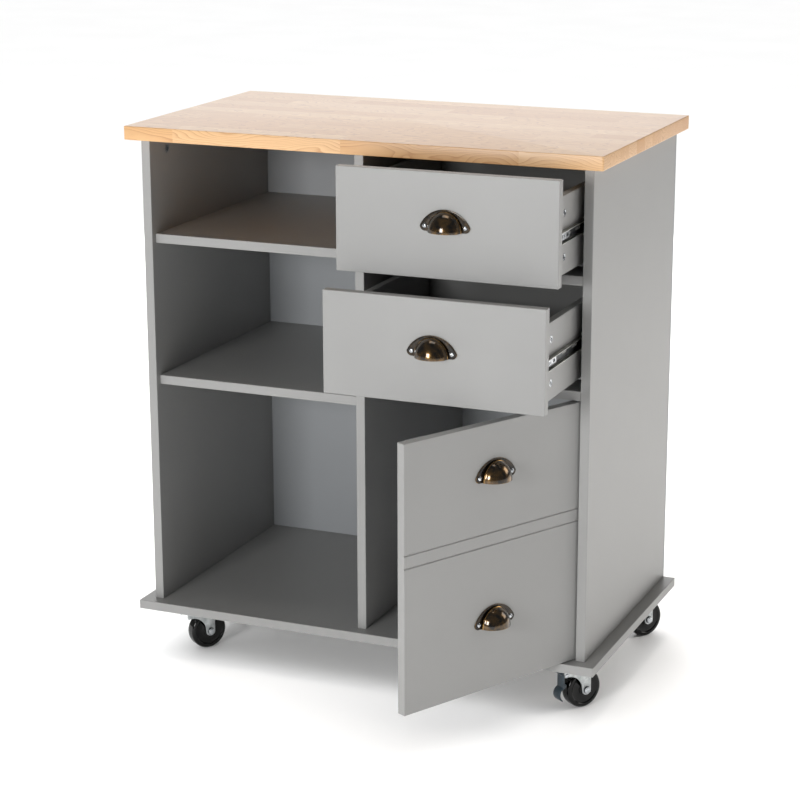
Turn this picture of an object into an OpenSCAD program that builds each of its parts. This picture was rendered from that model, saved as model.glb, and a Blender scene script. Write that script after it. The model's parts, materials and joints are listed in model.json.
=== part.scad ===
// Kitchen island cart: an open shelf bay on the left, two drawers over a cupboard door on the
// right, a solid wood worktop and a base board on four swivel casters.
// Millimetres. X runs along the front, +Y runs from the front to the back, +Z is up.
// The origin is on the floor, under the middle of the cart as it stands with both drawers
// and the door partly open.

/* [Cart] */
// Width over the two side panels
carcass_w = 760; // [640:1:920]
// Depth of the side panels, without the back panel
panel_depth = 425; // [354:1:520]
// Height from the floor to the top of the worktop
total_h = 900; // [850:1:1080]
// Thickness of the sides, divider, base, shelves, rails and fronts
board_t = 15; // [12.5:0.5:19]
// Small chamfer along the edges of the painted boards
edge_ease = 0.6; // [0.2:0.1:1]
// Chamfer along the edges of the worktop
top_ease = 1.2; // [0.6:0.2:3]
// Thickness of the back panel
back_t = 5; // [3:0.5:6]

/* [Worktop and base] */
// Thickness of the worktop
top_t = 22; // [18:0.5:32]
// How far the worktop stands out at the sides
top_over_side = 20; // [0:1:40]
// How far the worktop stands out at the front
top_over_front = 20; // [5:1:40]
// How far the base board stands out at the sides
base_over_side = 20; // [0:1:40]
// How far the base board stands out at the front
base_over_front = 20; // [5:1:40]

/* [Shelf bay] */
// Clear height of the bottom compartment
bottom_bay_h = 372; // [250:1:420]
// Clear height of the middle compartment
middle_bay_h = 221; // [150:1:260]
// How far the shelf fronts stand back from the side panels
shelf_setback = 11; // [0:1:30]

/* [Cupboard and drawers] */
// Clear height of the cupboard behind the door
cupboard_h = 421; // [330:1:460]
// Gap all round the door and the drawer fronts
front_gap = 2; // [2:0.5:4]
// Depth of the rails under each drawer
rail_depth = 70; // [50:1:120]
// How far the rails stand back from the side panels
rail_setback = 1; // [0:0.5:4]
// How far the upper drawer stands open
upper_pulled = 107; // [0:1:230]
// How far the lower drawer stands open
lower_pulled = 158; // [0:1:230]
// Angle at which the door stands open
door_angle = 63; // [0:1:105]

/* [Drawer boxes] */
// Thickness of the drawer sides and back
drawer_side_t = 12; // [10:0.5:16]
// Height of the drawer front above the top of the drawer sides
side_below_top = 29.5; // [10:0.5:40]
// Height of the drawer sides above the lower edge of the front
side_above_bottom = 12; // [5:0.5:30]
// Space between the closed drawer box and the back panel
drawer_rear_gap = 40; // [10:1:80]
// Thickness of the drawer bottom
bottom_t = 3; // [2.5:0.5:6]
// Height of the drawer bottom above the lower edge of the sides
bottom_rise = 10; // [6:0.5:20]
// Depth of the grooves that hold the drawer bottom
groove_depth = 6; // [4:0.5:8]

/* [Drawer slides] */
// Side space that each slide takes between the cabinet and the drawer box
slide_gap = 10.5; // [10:0.1:13]
// Height of the cabinet member of a slide
channel_h = 27; // [25:0.5:35]
// Height of the drawer member of a slide
member_h = 17.5; // [15:0.5:18]
// Sheet thickness of the slides
slide_sheet = 1; // [0.8:0.1:1.4]
// Full travel of a drawer
drawer_travel = 250; // [235:1:260]
// Gap between a ball and each of its two tracks
ball_play = 0.3; // [0.25:0.05:0.5]

/* [Pulls] */
// Distance between the two screws of a pull
pull_centres = 64; // [58:1:76]
// Radius of the rounded ends of a pull
pull_end_r = 8; // [7:0.5:11]
// Height of a pull above its screw line
pull_rise = 25.5; // [23:0.5:34]
// How far the cup of a pull stands out
pull_reach = 24; // [20:0.5:32]
// Thickness of the pull's flange and cup
pull_t = 1.8; // [1.4:0.1:2.4]

/* [Door] */
// Distance between the two grooves across the door
groove_pitch = 20; // [10:1:40]
// Height of the lower groove above the cupboard floor
groove_up = 230; // [120:1:260]
// Width of a groove
vee_w = 3; // [2:0.5:5]
// Height of the lower pull's screws above the cupboard floor
low_pull_up = 109.5; // [60:0.5:200]
// Diameter of the door's pivot pins
pivot_d = 4; // [3:0.5:5]

/* [Casters] */
// Gap between the wheel and the roof of its fork
wheel_clear = 7.6; // [4:0.1:15]
// Wheel diameter
wheel_d = 63.5; // [52:0.5:77]
// Wheel width
wheel_w = 20; // [16:0.5:24]
// How far the axle trails behind the swivel axis
trail = 32; // [28:0.5:36]
// Direction in which the casters trail, measured from the right
caster_turn = 55; // [0:1:359]
// Distance of the swivel axis from the base board's side edge
caster_in_x = 64; // [50:1:120]
// Distance of the swivel axis from the base board's front and back edges
caster_in_y = 56; // [40:1:100]
// Diameter of the axle
axle_d = 8; // [6:0.5:10]

/* [Hidden] */
$fn = 48;
// a shaft in its hole, all round
running = 0.05;
// room for a board or a fitting in its groove or pocket
loose = 0.1;
// room for a drawer bottom to grow in its grooves
bottom_play = 0.5;
eps = 0.01;

// caster parts that stack up from the floor to the base board
axle_z = wheel_d / 2;
plate = [58, 50, 2.2];
race_h = 4.3;
race_gap = 0.4;
crown_h = 4.5;
fork_sheet = 2.5;
fork_roof = wheel_d + wheel_clear;
fork_top = fork_roof + fork_sheet;
crown_top = fork_top + crown_h;
caster_h = crown_top + race_gap + race_h + plate[2];

// heights
z_floor = caster_h + board_t;
z_under_top = total_h - top_t;
z_low_shelf = z_floor + bottom_bay_h;
z_high_shelf = z_low_shelf + board_t + middle_bay_h;
z_low_rail = z_floor + cupboard_h;
drawer_opening = (z_under_top - z_low_rail - 2 * board_t) / 2;
z_high_rail = z_low_rail + board_t + drawer_opening;

// widths
half_w = carcass_w / 2;
inner = half_w - board_t;
bay_w = inner - board_t / 2;
bay_l = board_t / 2;
bay_r = inner;
bay_mid = (bay_l + bay_r) / 2;
front_w = bay_w - 2 * front_gap;
front_h = drawer_opening - 2 * front_gap;
door_h = cupboard_h - 2 * front_gap;
top_w = carcass_w + 2 * top_over_side;
base_w = carcass_w + 2 * base_over_side;
back_y = panel_depth + back_t;

// drawers: [height of the front's lower edge, distance pulled out]
UPPER = [z_high_rail + board_t + front_gap, upper_pulled];
LOWER = [z_low_rail + board_t + front_gap, lower_pulled];
box_l = bay_l + slide_gap;
box_r = bay_r - slide_gap;
box_in = box_r - box_l - 2 * drawer_side_t;
side_h = front_h - side_below_top - side_above_bottom;
side_len = panel_depth - board_t - drawer_rear_gap;

// slides
slide_step = 50;
slide_rear_room = 20;
slide_setback = board_t + 3;
slide_len = floor((panel_depth - slide_setback - slide_rear_room) / slide_step) * slide_step;
channel_deep = slide_gap - 2;
member_in = 3;
slide_screw_head = [5.4, 0.3];
slide_screw_ys = [slide_setback + 20, slide_setback + slide_len - 30];
member_screw_ys = [slide_setback + 12, slide_setback + slide_len - 40];
member_screw_len = 9;
cage_spare = 5;
cage_len = slide_len - drawer_travel - cage_spare;
cage_y = slide_setback + drawer_travel / 2 + cage_spare / 2;
cage_in = slide_sheet + slide_screw_head[1] + 0.5;
cage_sheet = 0.8;
cage_end = 6;
ball_d = channel_h / 2 - slide_sheet - member_h / 2 - 2 * ball_play;
ball_z = (member_h + channel_h) / 4 - slide_sheet / 2;
ball_x = slide_gap / 2;
balls = 7;

// cam fittings in the boards: a disc in a pocket, and a bolt that it draws in
cam_d = 15;
cam_deep = board_t - 2.7;
cam_way = 0.3;
cam_in = 23;
bolt_d = 6.8;
bolt_thread_d = 5;
bolt_thread = 10;
worktop_cam_ys = [58, panel_depth - 55];
shelf_cam_ys = [shelf_setback + 47, panel_depth - 60];
shelf_zs = [z_low_shelf, z_high_shelf];
rail_zs = [z_low_rail, z_high_rail];

// smaller cam fittings in the drawer sides
small_cam_d = 12;
small_cam_deep = drawer_side_t - 2.5;
small_cam_in = 34;
small_cam_spread = 0.56;
small_cam_apart = small_cam_spread * side_h;
small_bolt_d = 5;
small_thread = 9;

// dowels, screws
dowel_d = 8;
dowel_len = 22;
dowel_in_panel = 10;
dowel_ys = [rail_setback + 16, rail_setback + rail_depth - 18];
base_screw_d = 6;
base_screw_len = 50;
base_screw_head = [10, 3.5];
base_screw_ys = [40, panel_depth / 2, panel_depth - 40];
small_screw_d = 3;
back_screw_head = [6, 1.2];
back_screw_len = 18;
back_screw_rows = 5;
back_screw_end = 40;
back_screw_pitch = (z_under_top - z_floor - 2 * back_screw_end) / (back_screw_rows - 1);
pull_screw_head = [7, 2.2];
pull_screw_d = 3.5;
pull_screw_len = 13;
drawer_screw_len = 35;
drawer_screw_spread = 0.3;
drawer_screw_up = drawer_screw_spread * side_h;
pan_head = [6, 1.6];
// top of a raised head, and width of a cross recess, as shares of the head's width
head_taper = 0.62;
recess_share = 0.55;
plate_screw_len = 13;

// pulls
pull_half = pull_centres / 2 + pull_end_r;
pull_arch_r = (pull_half * pull_half + pull_rise * pull_rise) / (2 * pull_rise);
cup_half = pull_centres / 2 - 5;
cup_rise = pull_rise + pull_end_r - 3;

// door
door_low = z_floor + front_gap;
pivot_in = pivot_d / 2 + 3;
pivot_x = bay_r - front_gap - pivot_in;
pivot_y = pivot_in;
pivot_len = 9;
pin_short = 0.5;
socket_wall = 1.2;
socket_hole = pivot_d + 2 * (socket_wall + loose);
high_pull_down = front_h / 2;
catch_size = [46, 14, 13];
catch_ear = 11;
catch_foot = 2;
catch_y = board_t + 1.6;
catch_x = bay_l + 12;
strike = [34, 12, 1.2];
strike_screw_len = 9;
strike_head = [5, 0.4];

// casters: front left, front right, back left, back right
caster_x = base_w / 2 - caster_in_x;
caster_front_y = caster_in_y - base_over_front;
caster_back_y = back_y - caster_in_y;
CASTERS = [
    [-caster_x, caster_front_y],
    [caster_x, caster_front_y],
    [-caster_x, caster_back_y],
    [caster_x, caster_back_y]
];
plate_screw_in = 7;
plate_race_d = 36;
crown_d = 44;
fork_in = wheel_w / 2 + 3;
fork_out = fork_in + fork_sheet;
boss_r = 8.5;
leg_hollow_x = trail - 36;
nut_d = 1.55 * axle_d;
nut_h = 4;
kingpin_d = 8;
kingpin_head = [15, 2];
hub_w = 2 * fork_in - 1;
hub_d = 22;
tread_round = 4;
rim_w = 7;
dish = 1.5;
pedal_pin_d = 4;
pin_cap = [pedal_pin_d + 3, 1.4];
pedal_pin = [trail - wheel_d / 2 - 7.75, fork_roof - 7];
pedal_w = 17;
pedal_eye_d = pedal_pin_d + 4;
pedal_sheet = 2.4;
pedal_ring_r = 13;
pedal_ring = [pedal_pin[0] + 4, axle_z - 3];
shoe = [4.9, 5];
shoe_z = axle_z + 8.75;
fork_lead = 3.5 - pedal_pin[0];

// The stored pose is centred over the origin from front to back.
door_reach = (front_w - pivot_in) * sin(door_angle) + pivot_in * cos(door_angle) - pivot_y;
drawer_reach = max(upper_pulled, lower_pulled) + pull_reach;
front_most = max(door_reach, drawer_reach, top_over_front, base_over_front);
y_shift = (front_most - back_y) / 2;

// painted boards, timber and hardware
grey = [0.64, 0.64, 0.63];
grey_back = [0.5, 0.51, 0.53];
timber = [0.88, 0.74, 0.6];
zinc = [0.78, 0.79, 0.8];
dark_zinc = [0.45, 0.46, 0.47];
bronze = [0.25, 0.18, 0.11];
black = [0.06, 0.06, 0.06];
blue_steel = [0.2, 0.24, 0.28];
plastic = [0.8, 0.8, 0.78];
birch = [0.8, 0.68, 0.5];

// ---- shared shapes ----

// A rectangle from the origin with its corners cut by e
module eased_rect(w, h, e) {
    polygon([[e, 0], [w - e, 0], [w, e], [w, h - e], [w - e, h], [e, h], [0, h - e], [0, e]]);
}

// A board from corner a, of size s, with every edge chamfered by e
module board(a, s, e = edge_ease) {
    translate(a)
        intersection() {
            linear_extrude(s[2])
                eased_rect(s[0], s[1], e);
            translate([0, s[1], 0])
                rotate([90, 0, 0])
                    linear_extrude(s[1])
                        eased_rect(s[0], s[2], e);
            rotate([90, 0, 90])
                linear_extrude(s[0])
                    eased_rect(s[1], s[2], e);
        }
}

// A plain box from corner a, of size s
module block(a, s) {
    translate(a)
        cube(s);
}

// A rod of diameter d from point a, along an axis, for a length
module rod_x(a, d, len) {
    translate(a)
        rotate([0, 90, 0])
            cylinder(d = d, h = len);
}

module rod_y(a, d, len) {
    translate(a)
        rotate([-90, 0, 0])
            cylinder(d = d, h = len);
}

module rod_z(a, d, len) {
    translate(a)
        cylinder(d = d, h = len);
}

// A cross recess that is cut into a screw or cam face at the origin, going down
module cross_recess(w) {
    for (turn = [0, 90])
        rotate([0, 0, turn])
            translate([-w / 2, -w / 8, -w / 4])
                cube([w, w / 4, w / 4 + 1]);
}

// A screw whose head stands on z = 0 and whose shank goes down
module screw(d, len, head) {
    difference() {
        union() {
            cylinder(d1 = head[0], d2 = head[0] * head_taper, h = head[1]);
            translate([0, 0, -len])
                cylinder(d = d, h = len + eps);
        }
        translate([0, 0, head[1]])
            cross_recess(head[0] * recess_share);
    }
}

// A screw whose flat head is flush with z = 0 and whose shank goes down
module flat_screw(d, len, head) {
    difference() {
        union() {
            translate([0, 0, -head[1]])
                cylinder(d = head[0], h = head[1]);
            translate([0, 0, -len])
                cylinder(d = d, h = len - head[1] + eps);
        }
        cross_recess(head[0] * recess_share);
    }
}

// The hole for a flat-headed screw
module flat_screw_hole(d, len, head) {
    translate([0, 0, -head[1] - eps])
        cylinder(d = head[0] + 2 * loose, h = head[1] + 1);
    translate([0, 0, -len])
        cylinder(d = d, h = len);
}

// A cam disc whose face is at z = 0 and whose body goes down, with a way in for the bolt along +X
module cam_disc(d, deep, way) {
    difference() {
        translate([0, 0, -deep])
            cylinder(d = d, h = deep);
        rod_x([-way / 2, 0, -deep / 2], way, d);
        cross_recess(d * recess_share);
    }
}

module mirror_copy(axis) {
    children();
    mirror(axis)
        children();
}

// Moves a shape from the carcass frame, whose y = 0 is at the panel fronts
module in_cart() {
    translate([0, y_shift, 0])
        children();
}

module in_drawer(which) {
    translate([0, y_shift - which[1], 0])
        children();
}

module in_door() {
    translate([pivot_x, pivot_y + y_shift, 0])
        rotate([0, 0, door_angle])
            translate([-pivot_x, -pivot_y, 0])
                children();
}

// The frame of a caster: its swivel axis is Z, and it trails along +X
module in_caster(i) {
    translate([CASTERS[i][0], CASTERS[i][1] + y_shift, 0])
        rotate([0, 0, caster_turn])
            children();
}

// ---- places of the fittings, shared by a fitting and the holes for it ----

// The faces of the uprights that hold the worktop's cams, and the way into the board from there
CAM_FACES = [[-inner, -1], [-bay_l, 1], [inner, 1]];

// Cams in the uprights, under the worktop: children face out of the board, and the bolt way is up
module at_worktop_cams() {
    for (face = CAM_FACES)
        for (y = worktop_cam_ys)
            translate([face[0], y, z_under_top - cam_in])
                rotate([0, -90 * face[1], 0])
                    rotate([0, 0, face[1] < 0 ? 180 : 0])
                        children();
}

// Bolts that stand in the uprights and screw up into the worktop
module at_worktop_bolts() {
    for (face = CAM_FACES)
        for (y = worktop_cam_ys)
            translate([face[0] + face[1] * cam_deep / 2, y, z_under_top])
                children();
}

// Cams under both ends of a shelf: children face down, and the bolt way is towards the end
module at_shelf_cams() {
    for (z = shelf_zs)
        for (y = shelf_cam_ys) {
            translate([-inner + cam_in, y, z])
                rotate([180, 0, 180])
                    children();
            translate([-bay_l - cam_in, y, z])
                rotate([180, 0, 0])
                    children();
        }
}

// Bolts in the shelf ends: children point along +Z, out of the end
module at_shelf_bolts() {
    for (z = shelf_zs)
        for (y = shelf_cam_ys) {
            translate([-inner, y, z + cam_deep / 2])
                rotate([0, -90, 0])
                    children();
            translate([-bay_l, y, z + cam_deep / 2])
                rotate([0, 90, 0])
                    children();
        }
}

// Dowels in the rail ends: children point along +Z, out of the end
module at_dowels() {
    for (z = rail_zs)
        for (y = dowel_ys) {
            translate([bay_l, y, z + board_t / 2])
                rotate([0, -90, 0])
                    children();
            translate([bay_r, y, z + board_t / 2])
                rotate([0, 90, 0])
                    children();
        }
}

// Screws up through the base board: children face down
module at_base_screws() {
    for (x = [-inner - board_t / 2, 0, inner + board_t / 2])
        for (y = base_screw_ys)
            translate([x, y, caster_h])
                rotate([180, 0, 0])
                    children();
}

// Screws through the back panel: children face back
module at_back_screws() {
    for (x = [-inner - board_t / 2, 0, inner + board_t / 2])
        for (k = [0:back_screw_rows - 1])
            translate([x, back_y, z_floor + back_screw_end + k * back_screw_pitch])
                rotate([-90, 0, 0])
                    children();
}

// Height of the middle of a slide
function slide_z(which) = which[0] + side_above_bottom + side_h / 2;

// Screws of the slide channels: children face into the bay
module at_channel_screws() {
    for (which = [UPPER, LOWER])
        for (y = slide_screw_ys) {
            translate([bay_l + slide_sheet, y, slide_z(which)])
                rotate([0, 90, 0])
                    children();
            translate([bay_r - slide_sheet, y, slide_z(which)])
                rotate([0, -90, 0])
                    children();
        }
}

// Screws of the drawer members: children face out of the drawer
module at_member_screws(which) {
    for (y = member_screw_ys) {
        translate([box_l - slide_sheet, y, slide_z(which)])
            rotate([0, -90, 0])
                children();
        translate([box_r + slide_sheet, y, slide_z(which)])
            rotate([0, 90, 0])
                children();
    }
}

// Cams in the drawer sides, behind the front: children face out, and the bolt way is to the front
module at_drawer_cams(which) {
    for (up = [-1, 1])
        translate([0, board_t + small_cam_in, slide_z(which) + up * small_cam_apart / 2]) {
            translate([box_l, 0, 0])
                rotate([0, -90, 0])
                    rotate([0, 0, -90])
                        children();
            translate([box_r, 0, 0])
                rotate([0, 90, 0])
                    rotate([0, 0, -90])
                        children();
        }
}

// Bolts of those cams: children point along +Z, into the front
module at_drawer_bolts(which) {
    for (up = [-1, 1])
        for (x = [box_l + small_cam_deep / 2, box_r - small_cam_deep / 2])
            translate([x, board_t, slide_z(which) + up * small_cam_apart / 2])
                rotate([90, 0, 0])
                    children();
}

// Screws through the drawer sides into the drawer back: children face out
module at_drawer_screws(which) {
    for (up = [-1, 1])
        translate([0, board_t + side_len - drawer_side_t / 2, slide_z(which) + up * drawer_screw_up]) {
            translate([box_l, 0, 0])
                rotate([0, -90, 0])
                    children();
            translate([box_r, 0, 0])
                rotate([0, 90, 0])
                    children();
        }
}

// Screws of a pull on a board whose face is at y = 0: children face the front
module at_pull_screws() {
    for (side = [-1, 1])
        translate([side * pull_centres / 2, 0, 0])
            rotate([90, 0, 0])
                children();
}

// The middle of a drawer pull and of the two door pulls, on the screw line
function pull_at(which) = [bay_mid, 0, which[0] + front_h / 2];
DOOR_PULLS = [
    [bay_mid, 0, door_low + door_h - high_pull_down],
    [bay_mid, 0, z_floor + low_pull_up]
];

// Holes of a caster plate, from its swivel axis
PLATE_HOLES = [
    for (sx = [-1, 1], sy = [-1, 1])
        [sx * (plate[0] / 2 - plate_screw_in), sy * (plate[1] / 2 - plate_screw_in)]
];

// Screws of the four caster plates: children face down
module at_plate_screws() {
    for (i = [0:3])
        translate([CASTERS[i][0], CASTERS[i][1], caster_h - plate[2]])
            for (at = PLATE_HOLES)
                translate([at[0], at[1], 0])
                    rotate([180, 0, 0])
                        children();
}

// Screws of the door catch, up into the lower rail: children face down
module at_catch_screws() {
    for (dx = [catch_ear / 2, catch_size[0] - catch_ear / 2])
        translate([catch_x + dx, catch_y + catch_size[1] / 2, z_low_rail - catch_foot])
            rotate([180, 0, 0])
                children();
}

// ---- carcass ----

module worktop() {
    color(timber)
        in_cart()
            difference() {
                board([-top_w / 2, -top_over_front, z_under_top],
                    [top_w, back_y + top_over_front, top_t], top_ease);
                at_worktop_bolts()
                    rod_z([0, 0, -1], bolt_thread_d, bolt_thread + 1 + loose);
            }
}

module upright_holes() {
    at_worktop_cams()
        translate([0, 0, -cam_deep - loose])
            cylinder(d = cam_d + 2 * loose, h = cam_deep + 2);
    at_worktop_bolts()
        rod_z([0, 0, -cam_in - 1], bolt_d + 2 * loose, cam_in + 2);
    at_shelf_bolts()
        rod_z([0, 0, -1], bolt_thread_d, bolt_thread + 1 + loose);
    at_dowels()
        rod_z([0, 0, -1], dowel_d, dowel_in_panel + 1 + loose);
    at_base_screws()
        rod_z([0, 0, -base_screw_len], base_screw_d, base_screw_len);
    at_back_screws()
        rod_z([0, 0, -back_screw_len], small_screw_d, back_screw_len);
    at_channel_screws()
        rod_z([0, 0, -plate_screw_len], small_screw_d, plate_screw_len);
}

module upright(x) {
    difference() {
        board([x, 0, z_floor], [board_t, panel_depth, z_under_top - z_floor]);
        upright_holes();
    }
}

module left_side() {
    color(grey)
        in_cart()
            upright(-half_w);
}

module right_side() {
    color(grey)
        in_cart()
            upright(inner);
}

module divider() {
    color(grey)
        in_cart()
            upright(-bay_l);
}

module back_panel() {
    color(grey_back)
        in_cart()
            difference() {
                board([-half_w, panel_depth, z_floor], [carcass_w, back_t, z_under_top - z_floor]);
                at_back_screws()
                    flat_screw_hole(small_screw_d, back_screw_len, back_screw_head);
            }
}

module base_board() {
    color(grey)
        in_cart()
            difference() {
                board([-base_w / 2, -base_over_front, caster_h],
                    [base_w, back_y + base_over_front, board_t]);
                at_base_screws()
                    flat_screw_hole(base_screw_d, base_screw_len, base_screw_head);
                at_plate_screws()
                    rod_z([0, 0, -plate_screw_len], small_screw_d, plate_screw_len);
                rod_z([pivot_x, pivot_y, z_floor - pivot_len - loose], socket_hole, pivot_len + 1);
            }
}

module shelf(z) {
    color(grey)
        in_cart()
            difference() {
                board([-inner, shelf_setback, z], [bay_w, panel_depth - shelf_setback, board_t]);
                at_shelf_cams()
                    translate([0, 0, -cam_deep - loose])
                        cylinder(d = cam_d + 2 * loose, h = cam_deep + 2);
                at_shelf_bolts()
                    rod_z([0, 0, -cam_in - 1], bolt_d + 2 * loose, cam_in + 2);
            }
}

module upper_shelf() {
    shelf(z_high_shelf);
}

module lower_shelf() {
    shelf(z_low_shelf);
}

module rail(z) {
    difference() {
        board([bay_l, rail_setback, z], [bay_w, rail_depth, board_t]);
        at_dowels()
            rod_z([0, 0, dowel_in_panel - dowel_len], dowel_d, dowel_len);
    }
}

module upper_rail() {
    color(grey)
        in_cart()
            rail(z_high_rail);
}

module lower_rail() {
    color(grey)
        in_cart()
            difference() {
                rail(z_low_rail);
                at_catch_screws()
                    rod_z([0, 0, -plate_screw_len], small_screw_d, plate_screw_len);
                rod_z([pivot_x, pivot_y, z_low_rail - 1], socket_hole, pivot_len + 1 + loose);
            }
}

// ---- carcass fittings ----

module cam_locks() {
    color(zinc)
        in_cart() {
            at_worktop_cams()
                cam_disc(cam_d, cam_deep, bolt_d + 2 * cam_way);
            at_shelf_cams()
                cam_disc(cam_d, cam_deep, bolt_d + 2 * cam_way);
        }
}

module cam_bolt() {
    rod_z([0, 0, -cam_in], bolt_d, cam_in);
    rod_z([0, 0, -eps], bolt_thread_d, bolt_thread);
}

module cam_bolts() {
    color(zinc)
        in_cart() {
            at_worktop_bolts()
                cam_bolt();
            at_shelf_bolts()
                cam_bolt();
        }
}

module rail_dowels() {
    color(birch)
        in_cart()
            at_dowels()
                rod_z([0, 0, dowel_in_panel - dowel_len + loose], dowel_d, dowel_len - loose);
}

module base_screws() {
    color(zinc)
        in_cart()
            at_base_screws()
                flat_screw(base_screw_d, base_screw_len, base_screw_head);
}

module back_screws() {
    color(zinc)
        in_cart()
            at_back_screws()
                flat_screw(small_screw_d, back_screw_len, back_screw_head);
}

// The cabinet member of a slide: a channel that opens along +X, with its back on x = 0
module channel() {
    translate([0, slide_setback, -channel_h / 2])
        difference() {
            cube([channel_deep, slide_len, channel_h]);
            translate([slide_sheet, -1, slide_sheet])
                cube([slide_gap, slide_len + 2, channel_h - 2 * slide_sheet]);
            for (y = slide_screw_ys)
                rod_x([-1, y - slide_setback, channel_h / 2], small_screw_d, slide_sheet + 2);
        }
}

// The drawer member: a lower channel that opens along -X, with its back on x = slide_gap
module member() {
    translate([0, slide_setback, -member_h / 2])
        difference() {
            translate([member_in, 0, 0])
                cube([slide_gap - member_in, slide_len, member_h]);
            translate([0, -1, slide_sheet])
                cube([slide_gap - slide_sheet, slide_len + 2, member_h - 2 * slide_sheet]);
            for (y = member_screw_ys)
                rod_x([0, y - slide_setback, member_h / 2], small_screw_d, slide_gap + 1);
        }
}

// The strip between the two members, with its two rows of balls
module cage() {
    pitch = (cage_len - 2 * cage_end) / (balls - 1);
    translate([0, cage_y, 0]) {
        block([cage_in, 0, -ball_z], [cage_sheet, cage_len, 2 * ball_z]);
        mirror_copy([0, 0, 1]) {
            block([cage_in, 0, ball_z - cage_sheet / 2], [ball_x - cage_in + 1, cage_len, cage_sheet]);
            for (k = [0:balls - 1])
                translate([ball_x, cage_end + k * pitch, ball_z])
                    sphere(d = ball_d);
        }
    }
}

// Both sides of the right bay: children are drawn on the left wall, and mirrored on the right
module at_slides(which) {
    translate([bay_l, 0, slide_z(which)])
        children();
    translate([bay_r, 0, slide_z(which)])
        mirror([1, 0, 0])
            children();
}

module slide_channels() {
    color(zinc)
        in_cart()
            for (which = [UPPER, LOWER])
                at_slides(which)
                    channel();
}

module fitting_screws() {
    color(zinc)
        in_cart() {
            at_channel_screws()
                screw(small_screw_d, plate_screw_len, slide_screw_head);
            at_plate_screws()
                screw(small_screw_d, plate_screw_len, pan_head);
            at_catch_screws()
                screw(small_screw_d, plate_screw_len, pan_head);
        }
}

module door_catch() {
    color(plastic)
        in_cart()
            difference() {
                union() {
                    block([catch_x, catch_y, z_low_rail - catch_foot],
                        [catch_size[0], catch_size[1], catch_foot]);
                    block([catch_x + catch_ear, catch_y, z_low_rail - catch_size[2]],
                        [catch_size[0] - 2 * catch_ear, catch_size[1], catch_size[2] - catch_foot / 2]);
                }
                at_catch_screws()
                    rod_z([0, 0, -catch_foot - 1], small_screw_d, catch_foot + 2);
            }
}

// Bushes in the lower rail and the base board, in which the door's pins turn
module pivot_sockets() {
    color(plastic)
        in_cart()
            for (z = [z_floor - pivot_len, z_low_rail])
                difference() {
                    rod_z([pivot_x, pivot_y, z], pivot_d + 2 * socket_wall, pivot_len);
                    rod_z([pivot_x, pivot_y, z - 1], pivot_d + 2 * running, pivot_len + 2);
                }
}

// ---- drawers ----

module drawer_front(which) {
    z = which[0];
    rise = side_above_bottom + bottom_rise;
    color(grey)
        in_drawer(which)
            difference() {
                board([bay_l + front_gap, 0, z], [front_w, board_t, front_h]);
                block([bay_mid - box_in / 2 - groove_depth, board_t - groove_depth, z + rise - loose],
                    [box_in + 2 * groove_depth, groove_depth + 1, bottom_t + 2 * loose]);
                at_drawer_bolts(which)
                    rod_z([0, 0, -1], small_bolt_d, small_thread + 1 + loose);
                translate(pull_at(which))
                    at_pull_screws()
                        rod_z([0, 0, -pull_screw_len + pull_t], pull_screw_d, pull_screw_len);
            }
}

module drawer_side(which, x) {
    z = which[0] + side_above_bottom;
    inside = x < bay_mid ? x + drawer_side_t - groove_depth : x - 1;
    color(grey)
        in_drawer(which)
            difference() {
                board([x, board_t, z], [drawer_side_t, side_len, side_h]);
                block([inside, 0, z + bottom_rise - loose],
                    [groove_depth + 1, panel_depth, bottom_t + 2 * loose]);
                at_drawer_cams(which)
                    translate([0, 0, -small_cam_deep - loose])
                        cylinder(d = small_cam_d + 2 * loose, h = small_cam_deep + 2);
                at_drawer_bolts(which)
                    rod_z([0, 0, -small_cam_in - 1], small_bolt_d + 2 * loose, small_cam_in + 2);
                at_drawer_screws(which)
                    rod_z([0, 0, -drawer_side_t - 1], small_screw_d, drawer_side_t + 2);
                at_member_screws(which)
                    rod_z([0, 0, -member_screw_len], small_screw_d, member_screw_len);
            }
}

module drawer_back(which) {
    z = which[0] + side_above_bottom + bottom_rise + bottom_t + loose;
    top = which[0] + side_above_bottom + side_h;
    color(grey)
        in_drawer(which)
            difference() {
                board([box_l + drawer_side_t, board_t + side_len - drawer_side_t, z],
                    [box_in, drawer_side_t, top - z]);
                at_drawer_screws(which)
                    rod_z([0, 0, -drawer_screw_len - loose], small_screw_d, drawer_screw_len);
            }
}

module drawer_bottom(which) {
    tuck = groove_depth - bottom_play;
    color(grey_back)
        in_drawer(which)
            block([bay_mid - box_in / 2 - tuck, board_t - tuck, which[0] + side_above_bottom + bottom_rise],
                [box_in + 2 * tuck, side_len + tuck - bottom_play, bottom_t]);
}

module drawer_cams(which) {
    color(zinc)
        in_drawer(which) {
            at_drawer_cams(which)
                cam_disc(small_cam_d, small_cam_deep, small_bolt_d + 2 * cam_way);
            at_drawer_bolts(which) {
                rod_z([0, 0, -small_cam_in], small_bolt_d, small_cam_in + small_thread);
            }
        }
}

module drawer_screws(which) {
    color(zinc)
        in_drawer(which) {
            translate(pull_at(which))
                pull_screws();
            at_drawer_screws(which)
                screw(small_screw_d, drawer_screw_len, pan_head);
            at_member_screws(which)
                screw(small_screw_d, member_screw_len, slide_screw_head);
        }
}

module drawer_slides(which) {
    color(zinc)
        in_drawer(which)
            at_slides(which)
                member();
}

// The cages travel half as far as their drawer
module ball_cages(which) {
    color(dark_zinc)
        translate([0, y_shift - which[1] / 2, 0])
            at_slides(which)
                cage();
}

module upper_drawer_front() {
    drawer_front(UPPER);
}

module upper_drawer_left() {
    drawer_side(UPPER, box_l);
}

module upper_drawer_right() {
    drawer_side(UPPER, box_r - drawer_side_t);
}

module upper_drawer_back() {
    drawer_back(UPPER);
}

module upper_drawer_bottom() {
    drawer_bottom(UPPER);
}

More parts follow.
